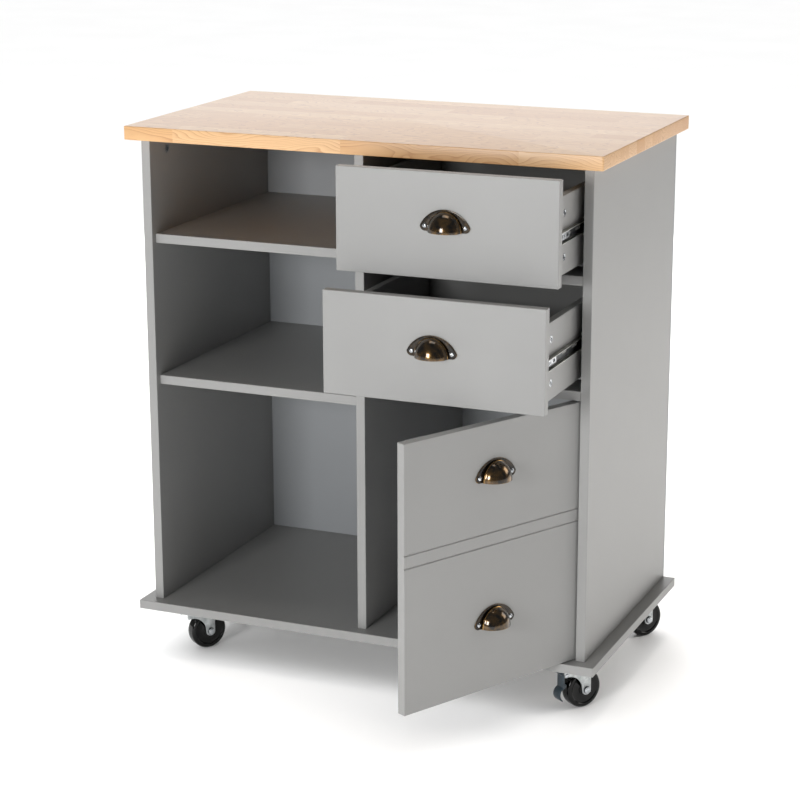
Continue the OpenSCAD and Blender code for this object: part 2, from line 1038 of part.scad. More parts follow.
module upper_drawer_pull() {
    in_drawer(UPPER)
        translate(pull_at(UPPER))
            pull();
}

module upper_drawer_cams() {
    drawer_cams(UPPER);
}

module upper_drawer_screws() {
    drawer_screws(UPPER);
}

module upper_drawer_slides() {
    drawer_slides(UPPER);
}

module upper_ball_cages() {
    ball_cages(UPPER);
}

module lower_drawer_front() {
    drawer_front(LOWER);
}

module lower_drawer_left() {
    drawer_side(LOWER, box_l);
}

module lower_drawer_right() {
    drawer_side(LOWER, box_r - drawer_side_t);
}

module lower_drawer_back() {
    drawer_back(LOWER);
}

module lower_drawer_bottom() {
    drawer_bottom(LOWER);
}

module lower_drawer_pull() {
    in_drawer(LOWER)
        translate(pull_at(LOWER))
            pull();
}

module lower_drawer_cams() {
    drawer_cams(LOWER);
}

module lower_drawer_screws() {
    drawer_screws(LOWER);
}

module lower_drawer_slides() {
    drawer_slides(LOWER);
}

module lower_ball_cages() {
    ball_cages(LOWER);
}

// ---- cup pulls ----

// The flange's outline in X and Z, with the screw line on z = 0
module pull_outline() {
    intersection() {
        translate([0, pull_rise - pull_arch_r])
            circle(r = pull_arch_r, $fn = 96);
        translate([-pull_half, 0])
            square([2 * pull_half, pull_rise + 1]);
    }
    for (side = [-1, 1])
        translate([side * pull_centres / 2, 0])
            circle(r = pull_end_r);
    translate([-pull_centres / 2, -pull_end_r])
        square([pull_centres, pull_end_r + eps]);
}

// The space of the cup, less the wall t, from the open lower edge upwards
module cup_shape(t, drop) {
    translate([0, 0, -pull_end_r - drop])
        intersection() {
            scale([cup_half - t, pull_reach - t, cup_rise - t])
                sphere(r = 1, $fn = 40);
            translate([-2 * cup_half, -2 * cup_half, drop > 0 ? -1 : 0])
                cube([4 * cup_half, 2 * cup_half + (drop > 0 ? 1 : 0), 4 * cup_half]);
        }
}

// A pull on a board whose face is at y = 0, with its screw line on z = 0
module pull() {
    color(bronze)
        difference() {
            union() {
                rotate([90, 0, 0])
                    linear_extrude(pull_t)
                        pull_outline();
                cup_shape(0, 0);
            }
            cup_shape(pull_t, eps);
            at_pull_screws()
                rod_z([0, 0, -1], pull_screw_d, pull_t + 2);
        }
}

module pull_screws() {
    translate([0, -pull_t, 0])
        at_pull_screws()
            screw(pull_screw_d, pull_screw_len, pull_screw_head);
}

// ---- door ----

module vee(z) {
    translate([bay_l - 1, 0, z])
        rotate([90, 0, 90])
            linear_extrude(bay_w + 2)
                polygon([[-1, -vee_w / 2 - 1], [vee_w / 2, 0], [-1, vee_w / 2 + 1]]);
}

module door_panel() {
    color(grey)
        in_door()
            difference() {
                board([bay_l + front_gap, 0, door_low], [front_w, board_t, door_h]);
                for (z = [groove_up, groove_up + groove_pitch])
                    vee(z_floor + z);
                for (z = [door_low - 1, door_low + door_h - pivot_len])
                    rod_z([pivot_x, pivot_y, z], pivot_d, pivot_len + 1);
                for (at = DOOR_PULLS)
                    translate(at)
                        at_pull_screws()
                            rod_z([0, 0, -pull_screw_len + pull_t], pull_screw_d, pull_screw_len);
                at_strike_screw()
                    rod_z([0, 0, -strike_screw_len], small_screw_d, strike_screw_len);
            }
}

module door_pull_upper() {
    in_door()
        translate(DOOR_PULLS[0])
            pull();
}

module door_pull_lower() {
    in_door()
        translate(DOOR_PULLS[1])
            pull();
}

// The middle of the strike plate: children face the back
module at_strike_screw() {
    translate([catch_x + catch_size[0] / 2, board_t + strike[2], z_low_rail - catch_size[2] / 2 - 1.5])
        rotate([-90, 0, 0])
            children();
}

module door_screws() {
    color(zinc)
        in_door() {
            for (at = DOOR_PULLS)
                translate(at)
                    pull_screws();
            at_strike_screw()
                flat_screw(small_screw_d, strike_screw_len, strike_head);
        }
}

module catch_strike() {
    color(zinc)
        in_door()
            difference() {
                at_strike_screw()
                    translate([-strike[0] / 2, -strike[1] / 2, -strike[2]])
                        cube([strike[0], strike[1], strike[2]]);
                at_strike_screw()
                    flat_screw_hole(small_screw_d, strike_screw_len, strike_head);
            }
}

// Pins in the door's upper and lower edges, near its front right corner
module pivot_pins() {
    color(zinc)
        in_door() {
            for (z = [z_floor, z_low_rail - front_gap])
                rod_z([pivot_x, pivot_y, z - pivot_len + pin_short], pivot_d,
                    2 * (pivot_len - pin_short) + front_gap);
        }
}

// ---- casters ----

module caster_plates() {
    color(zinc)
        for (i = [0:3])
            translate([CASTERS[i][0], CASTERS[i][1] + y_shift, 0]) {
                difference() {
                    union() {
                        block([-plate[0] / 2, -plate[1] / 2, caster_h - plate[2]], plate);
                        rod_z([0, 0, caster_h - plate[2] - race_h], plate_race_d, race_h + eps);
                        rod_z([0, 0, fork_roof - race_gap - eps], kingpin_d, caster_h - fork_roof);
                        rod_z([0, 0, fork_roof - race_gap - kingpin_head[1]],
                            kingpin_head[0], kingpin_head[1]);
                    }
                    for (at = PLATE_HOLES)
                        rod_z([at[0], at[1], caster_h - plate[2] - 1], small_screw_d, plate[2] + 2);
                }
            }
}

// A fork leg's outline in X and Z
module leg_outline() {
    hollow = [leg_hollow_x, axle_z + 1];
    hollow_r = norm([trail - hollow[0], axle_z - hollow[1]]) - boss_r;
    translate([trail, axle_z])
        circle(r = boss_r);
    difference() {
        polygon([
            [-fork_lead, fork_top],
            [trail + boss_r, fork_top],
            [trail + boss_r, axle_z],
            [trail - boss_r / 2, axle_z - boss_r * sqrt(3) / 2],
            [hollow[0], axle_z - boss_r],
            [-fork_lead, hollow[1] + hollow_r - 1]
        ]);
        translate(hollow)
            circle(r = hollow_r, $fn = 96);
    }
}

module fork(i, braked) {
    color(zinc)
        in_caster(i)
            difference() {
                union() {
                    for (y = [-fork_out, fork_in])
                        translate([0, y + fork_sheet, 0])
                            rotate([90, 0, 0])
                                linear_extrude(fork_sheet)
                                    leg_outline();
                    block([-fork_lead, -fork_out, fork_roof],
                        [fork_lead + trail + boss_r, 2 * fork_out, fork_sheet]);
                    rod_z([0, 0, fork_roof], crown_d, crown_top - fork_roof);
                }
                rod_z([0, 0, fork_roof - 1], kingpin_d + 2 * running, crown_top - fork_roof + 2);
                rod_y([trail, -fork_out - 1, axle_z], axle_d, 2 * fork_out + 2);
                if (braked)
                    rod_y([pedal_pin[0], -fork_out - 1, pedal_pin[1]], pedal_pin_d, 2 * fork_out + 2);
            }
}

// A bolt with a hexagon head at one end and a nut at the other, and the brake pedal's pin
module axle(i, braked) {
    color(zinc)
        in_caster(i) {
            rod_y([trail, -fork_out, axle_z], axle_d, 2 * fork_out);
            for (y = [-fork_out - nut_h, fork_out])
                translate([trail, y, axle_z])
                    rotate([-90, 0, 0])
                        cylinder(d = nut_d, h = nut_h, $fn = 6);
            if (braked) {
                rod_y([pedal_pin[0], -fork_out, pedal_pin[1]], pedal_pin_d, 2 * fork_out);
                for (y = [-fork_out - pin_cap[1], fork_out])
                    rod_y([pedal_pin[0], y, pedal_pin[1]], pin_cap[0], pin_cap[1]);
            }
        }
}

module wheel(i) {
    r = wheel_d / 2;
    w = wheel_w / 2;
    dish_r = r - rim_w;
    color(black)
        in_caster(i)
            translate([trail, 0, axle_z])
                rotate([90, 0, 0])
                    rotate_extrude($fn = 96)
                        difference() {
                            union() {
                                translate([0, -w])
                                    square([r - tread_round, wheel_w]);
                                translate([0, tread_round - w])
                                    square([r, wheel_w - 2 * tread_round]);
                                for (y = [tread_round - w, w - tread_round])
                                    translate([r - tread_round, y])
                                        circle(r = tread_round);
                                translate([0, -hub_w / 2])
                                    square([hub_d / 2, hub_w]);
                            }
                            translate([-1, -hub_w])
                                square([1 + axle_d / 2 + running, 2 * hub_w]);
                            for (side = [-1, 1])
                                translate([(hub_d / 2 + dish_r) / 2, side * w])
                                    square([dish_r - hub_d / 2, 2 * dish], center = true);
                        }
}

module brake_pedal(i) {
    color(blue_steel)
        in_caster(i)
            difference() {
                translate([0, pedal_w / 2, 0])
                    rotate([90, 0, 0])
                        linear_extrude(pedal_w)
                            pedal_outline();
                rod_y([pedal_pin[0], -pedal_w, pedal_pin[1]], pedal_pin_d + 2 * running, 2 * pedal_w);
            }
}

// The pedal's outline in X and Z: an eye on its pin, a shoe for the tread and a curled toe
module pedal_outline() {
    translate(pedal_pin)
        circle(d = pedal_eye_d);
    neck_low = pedal_ring[1] + pedal_ring_r - 2;
    translate([pedal_pin[0] - pedal_sheet / 2, neck_low])
        square([pedal_sheet, pedal_pin[1] - neck_low - pedal_pin_d / 2 - 1]);
    translate([pedal_pin[0], shoe_z])
        square(shoe);
    difference() {
        translate(pedal_ring)
            circle(r = pedal_ring_r);
        translate(pedal_ring)
            circle(r = pedal_ring_r - pedal_sheet);
        translate([pedal_ring[0] - 1, pedal_ring[1] - 2 * pedal_ring_r])
            square([3 * pedal_ring_r, 4 * pedal_ring_r]);
        translate([pedal_ring[0] - 6, pedal_ring[1] - 3 * pedal_ring_r])
            square([3 * pedal_ring_r, 3 * pedal_ring_r]);
    }
}

module fork_front_left() {
    fork(0, false);
}

module axle_front_left() {
    axle(0, false);
}

module wheel_front_left() {
    wheel(0);
}

module fork_front_right() {
    fork(1, true);
}

module axle_front_right() {
    axle(1, true);
}

module wheel_front_right() {
    wheel(1);
}

module brake_pedal_front() {
    brake_pedal(1);
}

module fork_back_left() {
    fork(2, true);
}

module axle_back_left() {
    axle(2, true);
}

module wheel_back_left() {
    wheel(2);
}

module brake_pedal_back() {
    brake_pedal(2);
}

module fork_back_right() {
    fork(3, false);
}

module axle_back_right() {
    axle(3, false);
}

module wheel_back_right() {
    wheel(3);
}

worktop();
left_side();
right_side();
divider();
back_panel();
base_board();
upper_shelf();
lower_shelf();
upper_rail();
lower_rail();
cam_locks();
cam_bolts();
rail_dowels();
base_screws();
back_screws();
slide_channels();
fitting_screws();
door_catch();
pivot_sockets();
caster_plates();
upper_drawer_front();
upper_drawer_left();
upper_drawer_right();
upper_drawer_back();
upper_drawer_bottom();
upper_drawer_pull();
upper_drawer_cams();
upper_drawer_screws();
upper_drawer_slides();
upper_ball_cages();
lower_drawer_front();
lower_drawer_left();
lower_drawer_right();
lower_drawer_back();
lower_drawer_bottom();
lower_drawer_pull();
lower_drawer_cams();
lower_drawer_screws();
lower_drawer_slides();
lower_ball_cages();
door_panel();
door_pull_upper();
door_pull_lower();
door_screws();
catch_strike();
pivot_pins();
fork_front_left();
axle_front_left();
wheel_front_left();
fork_front_right();
axle_front_right();
wheel_front_right();
brake_pedal_front();
fork_back_left();
axle_back_left();
wheel_back_left();
brake_pedal_back();
fork_back_right();
axle_back_right();
wheel_back_right();
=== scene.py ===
"""Kitchen island cart: finishes, fittings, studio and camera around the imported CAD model.

Lengths are metres, X runs along the front, +Y to the back and +Z up. Sizes in millimetres are
multiplied by MM. A piece that stands for a CAD node takes its place from that node's box. Boards
and hidden fittings stay as the CAD has them and are only given a finish.
"""

import json
import logging
import math
from collections.abc import Callable, Iterable
from dataclasses import dataclass, field
from enum import Enum
from typing import ClassVar

import bmesh
import bpy
from mathutils import Matrix, Vector

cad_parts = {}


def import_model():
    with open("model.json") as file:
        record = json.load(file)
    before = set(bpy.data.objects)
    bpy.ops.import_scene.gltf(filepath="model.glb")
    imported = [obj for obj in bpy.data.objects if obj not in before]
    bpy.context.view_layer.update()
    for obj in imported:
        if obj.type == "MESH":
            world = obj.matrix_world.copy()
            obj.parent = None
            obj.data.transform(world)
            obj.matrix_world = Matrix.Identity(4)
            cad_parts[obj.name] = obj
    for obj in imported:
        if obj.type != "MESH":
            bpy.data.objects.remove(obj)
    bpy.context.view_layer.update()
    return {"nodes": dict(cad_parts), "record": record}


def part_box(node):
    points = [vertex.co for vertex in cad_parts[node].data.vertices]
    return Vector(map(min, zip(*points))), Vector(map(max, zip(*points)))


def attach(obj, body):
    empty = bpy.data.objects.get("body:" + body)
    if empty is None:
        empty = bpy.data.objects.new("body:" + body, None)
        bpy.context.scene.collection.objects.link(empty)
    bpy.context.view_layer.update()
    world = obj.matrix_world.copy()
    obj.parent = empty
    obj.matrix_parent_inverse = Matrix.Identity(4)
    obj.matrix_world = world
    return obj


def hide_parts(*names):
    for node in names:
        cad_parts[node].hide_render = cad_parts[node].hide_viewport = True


LOG = logging.getLogger("kitchen_cart")
MM = 0.001
FULL_TURN = 2 * math.pi

MERGE_GAP = 0.002 * MM
QUARTER_TURN = math.pi / 2
DOOR_ANGLE = math.radians(63)
LACQUER_IOR = 1.5
DRAWERS = ("upper_drawer", "lower_drawer")

Flat = tuple[float, float]
Point = tuple[float, float, float]
Colour = tuple[float, float, float, float]
Test = Callable[[Vector, Vector], bool]
Piece = bpy.types.Object
Tree = bpy.types.NodeTree
Node = bpy.types.Node
Socket = bpy.types.NodeSocket


class Element(Enum):
    """What a selection on a mesh is made of."""

    POINT = "VERT"
    EDGE = "EDGE"
    FACE = "FACE"


# ---- material helpers ----


def srgb(code: str) -> Colour:
    """Turns an sRGB hex code into a linear colour.

    Args:
        code: six hex digits, with or without a leading #.

    Returns:
        Linear red, green and blue, and an alpha of 1.
    """
    digits = code.lstrip("#")
    parts = [int(digits[i : i + 2], 16) / 255 for i in (0, 2, 4)]
    linear = [p / 12.92 if p <= 0.04045 else ((p + 0.055) / 1.055) ** 2.4 for p in parts]
    return (linear[0], linear[1], linear[2], 1.0)


def add_node(
    tree: Tree,
    kind: str,
    settings: dict | None = None,
    links: dict | None = None,
    stops: Iterable[tuple[float, Colour]] = (),
) -> Node:
    """Adds one node with its settings and its incoming links.

    Args:
        tree: the node tree.
        kind: the node's type name, without the ShaderNode prefix.
        settings: values by input name or number, or else by property name.
        links: output sockets by the input name or number that they feed.
        stops: positions and colours of a colour ramp.

    Returns:
        The new node.
    """
    made = tree.nodes.new("ShaderNode" + kind)
    for key, value in (settings or {}).items():
        if isinstance(key, int) or key in made.inputs:
            made.inputs[key].default_value = value
        else:
            setattr(made, key, value)
    for key, source in (links or {}).items():
        tree.links.new(source, made.inputs[key])
    stops = list(stops)
    if stops:
        elements = made.color_ramp.elements
        while len(elements) < len(stops):
            elements.new(0.5)
        for element, (position, colour) in zip(elements, stops):
            element.position = position
            element.color = colour
    return made


@dataclass(frozen=True)
class Finish:
    """A surface finish. A subclass lays its own nodes over the principled shader."""

    name: str

    def material(self) -> bpy.types.Material:
        """Makes the finish's material, or finds it if it is made.

        Returns:
            The Blender material.
        """
        found = bpy.data.materials.get(self.name)
        if found is not None:
            return found
        made = bpy.data.materials.new(self.name)
        made.use_nodes = True
        tree = made.node_tree
        tree.nodes.clear()
        shader = add_node(tree, "BsdfPrincipled")
        add_node(tree, "OutputMaterial", links={"Surface": shader.outputs[0]})
        self.dress(tree, shader)
        return made

    def dress(self, tree: Tree, shader: Node) -> None:
        """Adds the finish's own nodes to a tree, in front of its shader."""
        raise NotImplementedError

    @staticmethod
    def place(tree: Tree, scale: Point = (1, 1, 1)) -> Socket:
        """Lays out Object coordinates, stretched by a scale.

        Args:
            tree: the material's node tree.
            scale: how many times finer the pattern is along each axis.

        Returns:
            The vector socket.
        """
        coordinates = add_node(tree, "TexCoord")
        mapping = add_node(
            tree, "Mapping", {"Scale": scale}, {"Vector": coordinates.outputs["Object"]}
        )
        return mapping.outputs[0]

    @staticmethod
    def tones(
        tree: Tree,
        place: Socket,
        size_mm: float,
        noise: dict,
        dark: tuple[float, str],
        light: tuple[float, str],
    ) -> tuple[Socket, Socket]:
        """Lays out two tones that drift into each other.

        Args:
            tree: the material's node tree.
            place: the vector that the drift follows.
            size_mm: how wide a patch is.
            noise: further settings of the noise.
            dark: where on the noise the darker tone ends, and its sRGB code.
            light: where the lighter tone begins, and its sRGB code.

        Returns:
            The drift's value and its colour.
        """
        drift = add_node(
            tree, "TexNoise", {"Scale": 1 / (size_mm * MM), **noise}, {"Vector": place}
        ).outputs["Fac"]
        stops = [(share, srgb(code)) for share, code in (dark, light)]
        return drift, add_node(tree, "ValToRGB", links={"Fac": drift}, stops=stops).outputs["Color"]

    @staticmethod
    def relief(
        tree: Tree, shader: Node, height: Socket, strength: float, depth_mm: float
    ) -> None:
        """Raises the surface by a pattern.

        Args:
            tree: the material's node tree.
            shader: its principled shader.
            height: the pattern's value.
            strength: how much of the relief shows.
            depth_mm: how deep it is.
        """
        settings = {"Strength": strength, "Distance": depth_mm * MM}
        bump = add_node(tree, "Bump", settings, {"Height": height})
        tree.links.new(bump.outputs[0], shader.inputs["Normal"])


@dataclass(frozen=True)
class SatinPaint(Finish):
    """Sprayed satin paint on fibreboard: even, softly shiny, with a faint orange peel."""

    colour: str = "#959594"
    shade: str = "#8f8f8e"
    roughness: float = 0.42
    gloss_spread: ClassVar[Flat] = (-0.04, 0.05)
    cloud_mm: float = 260
    peel_mm: float = 2.4
    peel_depth_mm: float = 0.02

    def dress(self, tree: Tree, shader: Node) -> None:
        """Adds the colour clouds, the gloss that follows them and the orange peel.

        Args:
            tree: the material's node tree.
            shader: its principled shader.
        """
        place = self.place(tree)
        cloud, tint = self.tones(
            tree, place, self.cloud_mm, {"Detail": 3.0}, (0.3, self.shade), (0.7, self.colour)
        )
        low, high = (self.roughness + share for share in self.gloss_spread)
        gloss = add_node(tree, "MapRange", {"To Min": low, "To Max": high}, {"Value": cloud})
        peel = add_node(
            tree, "TexNoise", {"Scale": 1 / (self.peel_mm * MM), "Detail": 1.0}, {"Vector": place}
        )
        self.relief(tree, shader, peel.outputs["Fac"], 0.5, self.peel_depth_mm)
        shader.inputs["IOR"].default_value = LACQUER_IOR
        tree.links.new(tint, shader.inputs["Base Color"])
        tree.links.new(gloss.outputs[0], shader.inputs["Roughness"])


@dataclass(frozen=True)
class StaveTimber(Finish):
    """Rubberwood staves, edge-glued and clear-lacquered: pale, straight staves with long grain."""

    pale: str = "#e2bb8c"
    warm: str = "#d1a06a"
    line: str = "#a3663a"
    roughness: float = 0.36
    stave_mm: float = 41
    block_mm: float = 290
    ring_mm: float = 5.5
    fibre_mm: float = 2.5
    pore_mm: float = 0.7
    pith_across_mm: float = 60
    pith_up_mm: float = 40
    wander_mm: float = 90
    wander_pace: Point = (1.4, 5.0, 5.0)
    fibre_pace: float = 14
    fibre_depth_mm: float = 0.05
    pore_pace: float = 90
    pore_share: float = 0.35
    key_step: float = 7.31

    def dress(self, tree: Tree, shader: Node) -> None:
        """Adds the staves, their blocks, the rings, the fibres and the pores.

        Args:
            tree: the material's node tree.
            shader: its principled shader.
        """
        coordinates = add_node(tree, "TexCoord")
        split = add_node(tree, "SeparateXYZ", links={0: coordinates.outputs["Object"]})
        along, across, up = split.outputs[:3]

        def sums(kind: str, *terms: Socket | float) -> Socket:
            """Works out a sum on sockets and plain numbers.

            Args:
                kind: the operation.
                terms: what it works on.

            Returns:
                The result's socket.
            """
            numbers, links = {"operation": kind}, {}
            for i, term in enumerate(terms):
                (links if isinstance(term, Socket) else numbers)[i] = term
            return add_node(tree, "Math", numbers, links).outputs[0]

        def fine(detail: dict, along_scale: float, size_mm: float) -> Socket:
            """Draws a pattern that is long on the grain and fine across it.

            Args:
                detail: settings of the noise.
                along_scale: its scale along the grain.
                size_mm: its size across the grain.

            Returns:
                The pattern's value.
            """
            cross = 1 / (size_mm * MM)
            links = {"Vector": self.place(tree, (along_scale, cross, cross))}
            return add_node(tree, "TexNoise", {"Scale": 1.0, **detail}, links).outputs["Fac"]

        # staves side by side, cut into blocks at places that chance shifts along each stave
        line = {"noise_dimensions": "1D"}
        stave = sums("FLOOR", sums("DIVIDE", across, self.stave_mm * MM))
        chance = add_node(tree, "TexWhiteNoise", line, {"W": stave}).outputs["Value"]
        shifted = sums("MULTIPLY_ADD", chance, self.block_mm * MM, along)
        block = sums("FLOOR", sums("DIVIDE", shifted, self.block_mm * MM))
        key = sums("MULTIPLY_ADD", stave, self.key_step, block)
        lot = add_node(tree, "TexWhiteNoise", line, {"W": key})
        draws = add_node(tree, "SeparateColor", links={0: lot.outputs["Color"]})
        first_draw, second_draw, third_draw = draws.outputs[:3]

        # each block is cut from its own place in a log, whose rings wander slowly along the grain
        wander = add_node(
            tree,
            "TexNoise",
            {"noise_dimensions": "4D", "Scale": 5.0, "Detail": 1.5},
            {"Vector": self.place(tree, self.wander_pace), "W": key},
        ).outputs["Fac"]
        swing = self.wander_mm * MM
        drift = sums("MULTIPLY_ADD", wander, swing, -swing / 2)
        y_pith = sums("MULTIPLY_ADD", first_draw, self.pith_across_mm * MM, across)
        z_pith = sums("MULTIPLY_ADD", second_draw, self.pith_up_mm * MM, up)
        y_log, z_log = sums("ADD", y_pith, drift), sums("ADD", z_pith, drift)
        radius = sums("SQRT", sums("ADD", sums("POWER", y_log, 2.0), sums("POWER", z_log, 2.0)))
        phase = sums("FRACT", sums("DIVIDE", radius, self.ring_mm * MM))
        # early wood darkens slowly to a thin dark line, and the next ring starts pale
        greys = ((0.0, 0.0), (0.72, 0.35), (0.93, 1.0), (1.0, 0.0))
        ring = add_node(
            tree,
            "ValToRGB",
            links={"Fac": phase},
            stops=[(share, (grey, grey, grey, 1)) for share, grey in greys],
        ).outputs["Color"]

        tones = {"Color1": srgb(self.pale), "Color2": srgb(self.warm)}
        base = add_node(tree, "MixRGB", tones, {"Fac": third_draw}).outputs["Color"]
        fibre = fine({"Detail": 4.0, "Roughness": 0.7}, self.fibre_pace, self.fibre_mm)
        strength = sums("MULTIPLY", ring, sums("MULTIPLY_ADD", fibre, 0.75, 0.15))
        pores = fine({"Detail": 2.0}, self.pore_pace, self.pore_mm)
        dense = {"From Min": 0.62, "From Max": 0.8, "To Max": self.pore_share}
        flecks = add_node(tree, "MapRange", dense, {"Value": pores}).outputs[0]
        colour = base
        for share in (strength, flecks):
            links = {"Fac": share, "Color1": colour}
            colour = add_node(tree, "MixRGB", {"Color2": srgb(self.line)}, links).outputs["Color"]
        self.relief(tree, shader, fibre, 0.25, self.fibre_depth_mm)
        shader.inputs["Roughness"].default_value = self.roughness
        shader.inputs["IOR"].default_value = LACQUER_IOR
        tree.links.new(colour, shader.inputs["Base Color"])


@dataclass(frozen=True)
class Metal(Finish):
    """A plated or patinated metal: two tones that drift into each other, and fine streaks."""

    light: str = "#c3c5c7"
    dark: str = "#8f9294"
    roughness: float = 0.3
    patch_mm: float = 9
    gloss_spread: ClassVar[Flat] = (-0.08, 0.1)
    streak: Point = (1, 1, 1)
    streak_mm: float = 0.6
    coat: float = 0.0
    coat_roughness: float = 0.1

    def dress(self, tree: Tree, shader: Node) -> None:
        """Adds the two tones and the streaks.

        Args:
            tree: the material's node tree.
            shader: its principled shader.
        """
        noise = {"Detail": 4.0, "Roughness": 0.6}
        _, tint = self.tones(
            tree, self.place(tree), self.patch_mm, noise, (0.38, self.dark), (0.66, self.light)
        )
        streaks = add_node(
            tree,
            "TexNoise",
            {"Scale": 1 / (self.streak_mm * MM), "Detail": 2.0},
            {"Vector": self.place(tree, self.streak)},
        )
        low, high = (self.roughness + share for share in self.gloss_spread)
        gloss = add_node(
            tree, "MapRange", {"To Min": low, "To Max": high}, {"Value": streaks.outputs["Fac"]}
        )
        shader.inputs["Metallic"].default_value = 1.0
        shader.inputs["Coat Weight"].default_value = self.coat
        shader.inputs["Coat Roughness"].default_value = self.coat_roughness
        tree.links.new(tint, shader.inputs["Base Color"])
        tree.links.new(gloss.outputs[0], shader.inputs["Roughness"])


@dataclass(frozen=True)
class Plain(Finish):
    """A moulded, enamelled or raw surface: a colour with faint mottling and a fine texture."""

    colour: str = "#808080"
    mottle: str = "#787878"
    roughness: float = 0.4
    mottle_mm: float = 12
    grit_mm: float = 0.8
    grit_depth_mm: float = 0.02
    shine: float = 0.5

    def dress(self, tree: Tree, shader: Node) -> None:
        """Adds the mottling and the texture.

        Args:
            tree: the material's node tree.
            shader: its principled shader.
        """
        place = self.place(tree)
        _, tint = self.tones(
            tree, place, self.mottle_mm, {"Detail": 3.0}, (0.35, self.mottle), (0.65, self.colour)
        )
        grit = add_node(tree, "TexNoise", {"Scale": 1 / (self.grit_mm * MM)}, {"Vector": place})
        self.relief(tree, shader, grit.outputs["Fac"], 0.4, self.grit_depth_mm)
        shader.inputs["Roughness"].default_value = self.roughness
        shader.inputs["Specular IOR Level"].default_value = self.shine
        tree.links.new(tint, shader.inputs["Base Color"])


# sprayed and cured: an even warm grey with a soft sheen that breaks up slightly
PAINT = SatinPaint("satin_paint_on_board")
# printed paper on hardboard: cooler and duller than the paint, with a finer texture
BACK_FOIL = SatinPaint("foil_on_hardboard", "#999c9f", "#939699", 0.5, 300, 1.2)
# short staves of different logs, glued and lacquered: pale blocks with brown ring lines
TIMBER = StaveTimber("lacquered_rubberwood_staves")
# cast, blackened and rubbed back: near black in the hollows, brown where the brass shows through
PATINA = Metal("blackened_brass", "#6b5027", "#120e09", 0.2, 11, coat=1.0)
# painted dark reflection: the flat of the flange is made near black in place of the dark
# surroundings that it would mirror
FLANGE_PAINTED_DARK_REFLECTION = Metal("black_brass_flat", "#2e2417", "#0c0a07", 0.3, 9, coat=0.5)
# a thin golden line: on the rims partly brass rubbed bare by hands and partly a painted highlight,
# on the ridge's crest a painted highlight
RUBBED_AND_PAINTED_HIGHLIGHT = Metal("rubbed_brass_edge", "#a8834a", "#5a4426", 0.25, 6, coat=0.4)
# die-cast, left raw: a dull, slightly clouded grey
CAST_ZINC = Metal("die_cast_zinc", "#b9bcbe", "#84888b", 0.38, 5)
# bright electroplate: the sharpest and whitest glints
BRIGHT_ZINC = Metal("bright_zinc_plate", "#d3d6d9", "#a9adb1", 0.22, 7)
# plated strip, rolled lengthwise: its gloss runs in streaks along the slide
SLIDE_ZINC = Metal("rolled_zinc_plate", "#bdbdb6", "#8d8e88", 0.3, 18, (6, 0.12, 6), 1.2)
# spring steel under a film of grease: dark, with a wet shine; also laid as painted shade inside the
# slides' channels and in the cams' cross recesses
OILED_STEEL_AND_PAINTED_SHADE = Metal("oiled_spring_steel", "#5d6062", "#3a3c3e", 0.34, 9)
# pressed plate, plated after pressing: a light satin grey
FORK_ZINC = Metal("stamped_zinc_plate", "#cfd2d2", "#a3a7a8", 0.33, 12)
# moulded and polished by rolling: deep black with small sharp highlights
TREAD = Plain("polished_black_nylon", "#070707", "#030303", 0.12, 20, 1.5, 0.01, 0.3)
# stove enamel on steel: a dark slate blue with a soft gloss
ENAMEL = Plain("blue_grey_enamel", "#2e3b44", "#25313a", 0.3, 10, 1.0, 0.02)
# moulded, with the mould's fine matt: an off-white without a glint
SOCKET_WHITE = Plain("moulded_white_plastic", "#d6d6d2", "#cecec9", 0.4, 8, 0.6, 0.02)
# turned and left raw: dry, dull, light brown
BEECH = Plain("raw_beech", "#c9a67c", "#b8936a", 0.7, 3, 0.5, 0.05)
# rolled matt paint: nearly white, without a reflection of its own
FLOOR_WHITE = Plain("matt_white_floor", "#f6f6f6", "#f4f4f4", 0.9, 400, 5, 0.01)

SLOT_FINISH = {
    "worktop_timber": TIMBER,
    "painted_board": PAINT,
    "back_board": BACK_FOIL,
    "antique_brass": PATINA,
    "cam_zinc": CAST_ZINC,
    "screw_zinc": BRIGHT_ZINC,
    "dowel_beech": BEECH,
    "slide_steel": SLIDE_ZINC,
    "cage_steel": OILED_STEEL_AND_PAINTED_SHADE,
    "white_plastic": SOCKET_WHITE,
    "strike_steel": BRIGHT_ZINC,
    "caster_zinc": FORK_ZINC,
    "axle_steel": BRIGHT_ZINC,
    "caster_black": TREAD,
    "pedal_steel": ENAMEL,
}


# ---- modelling bench ----


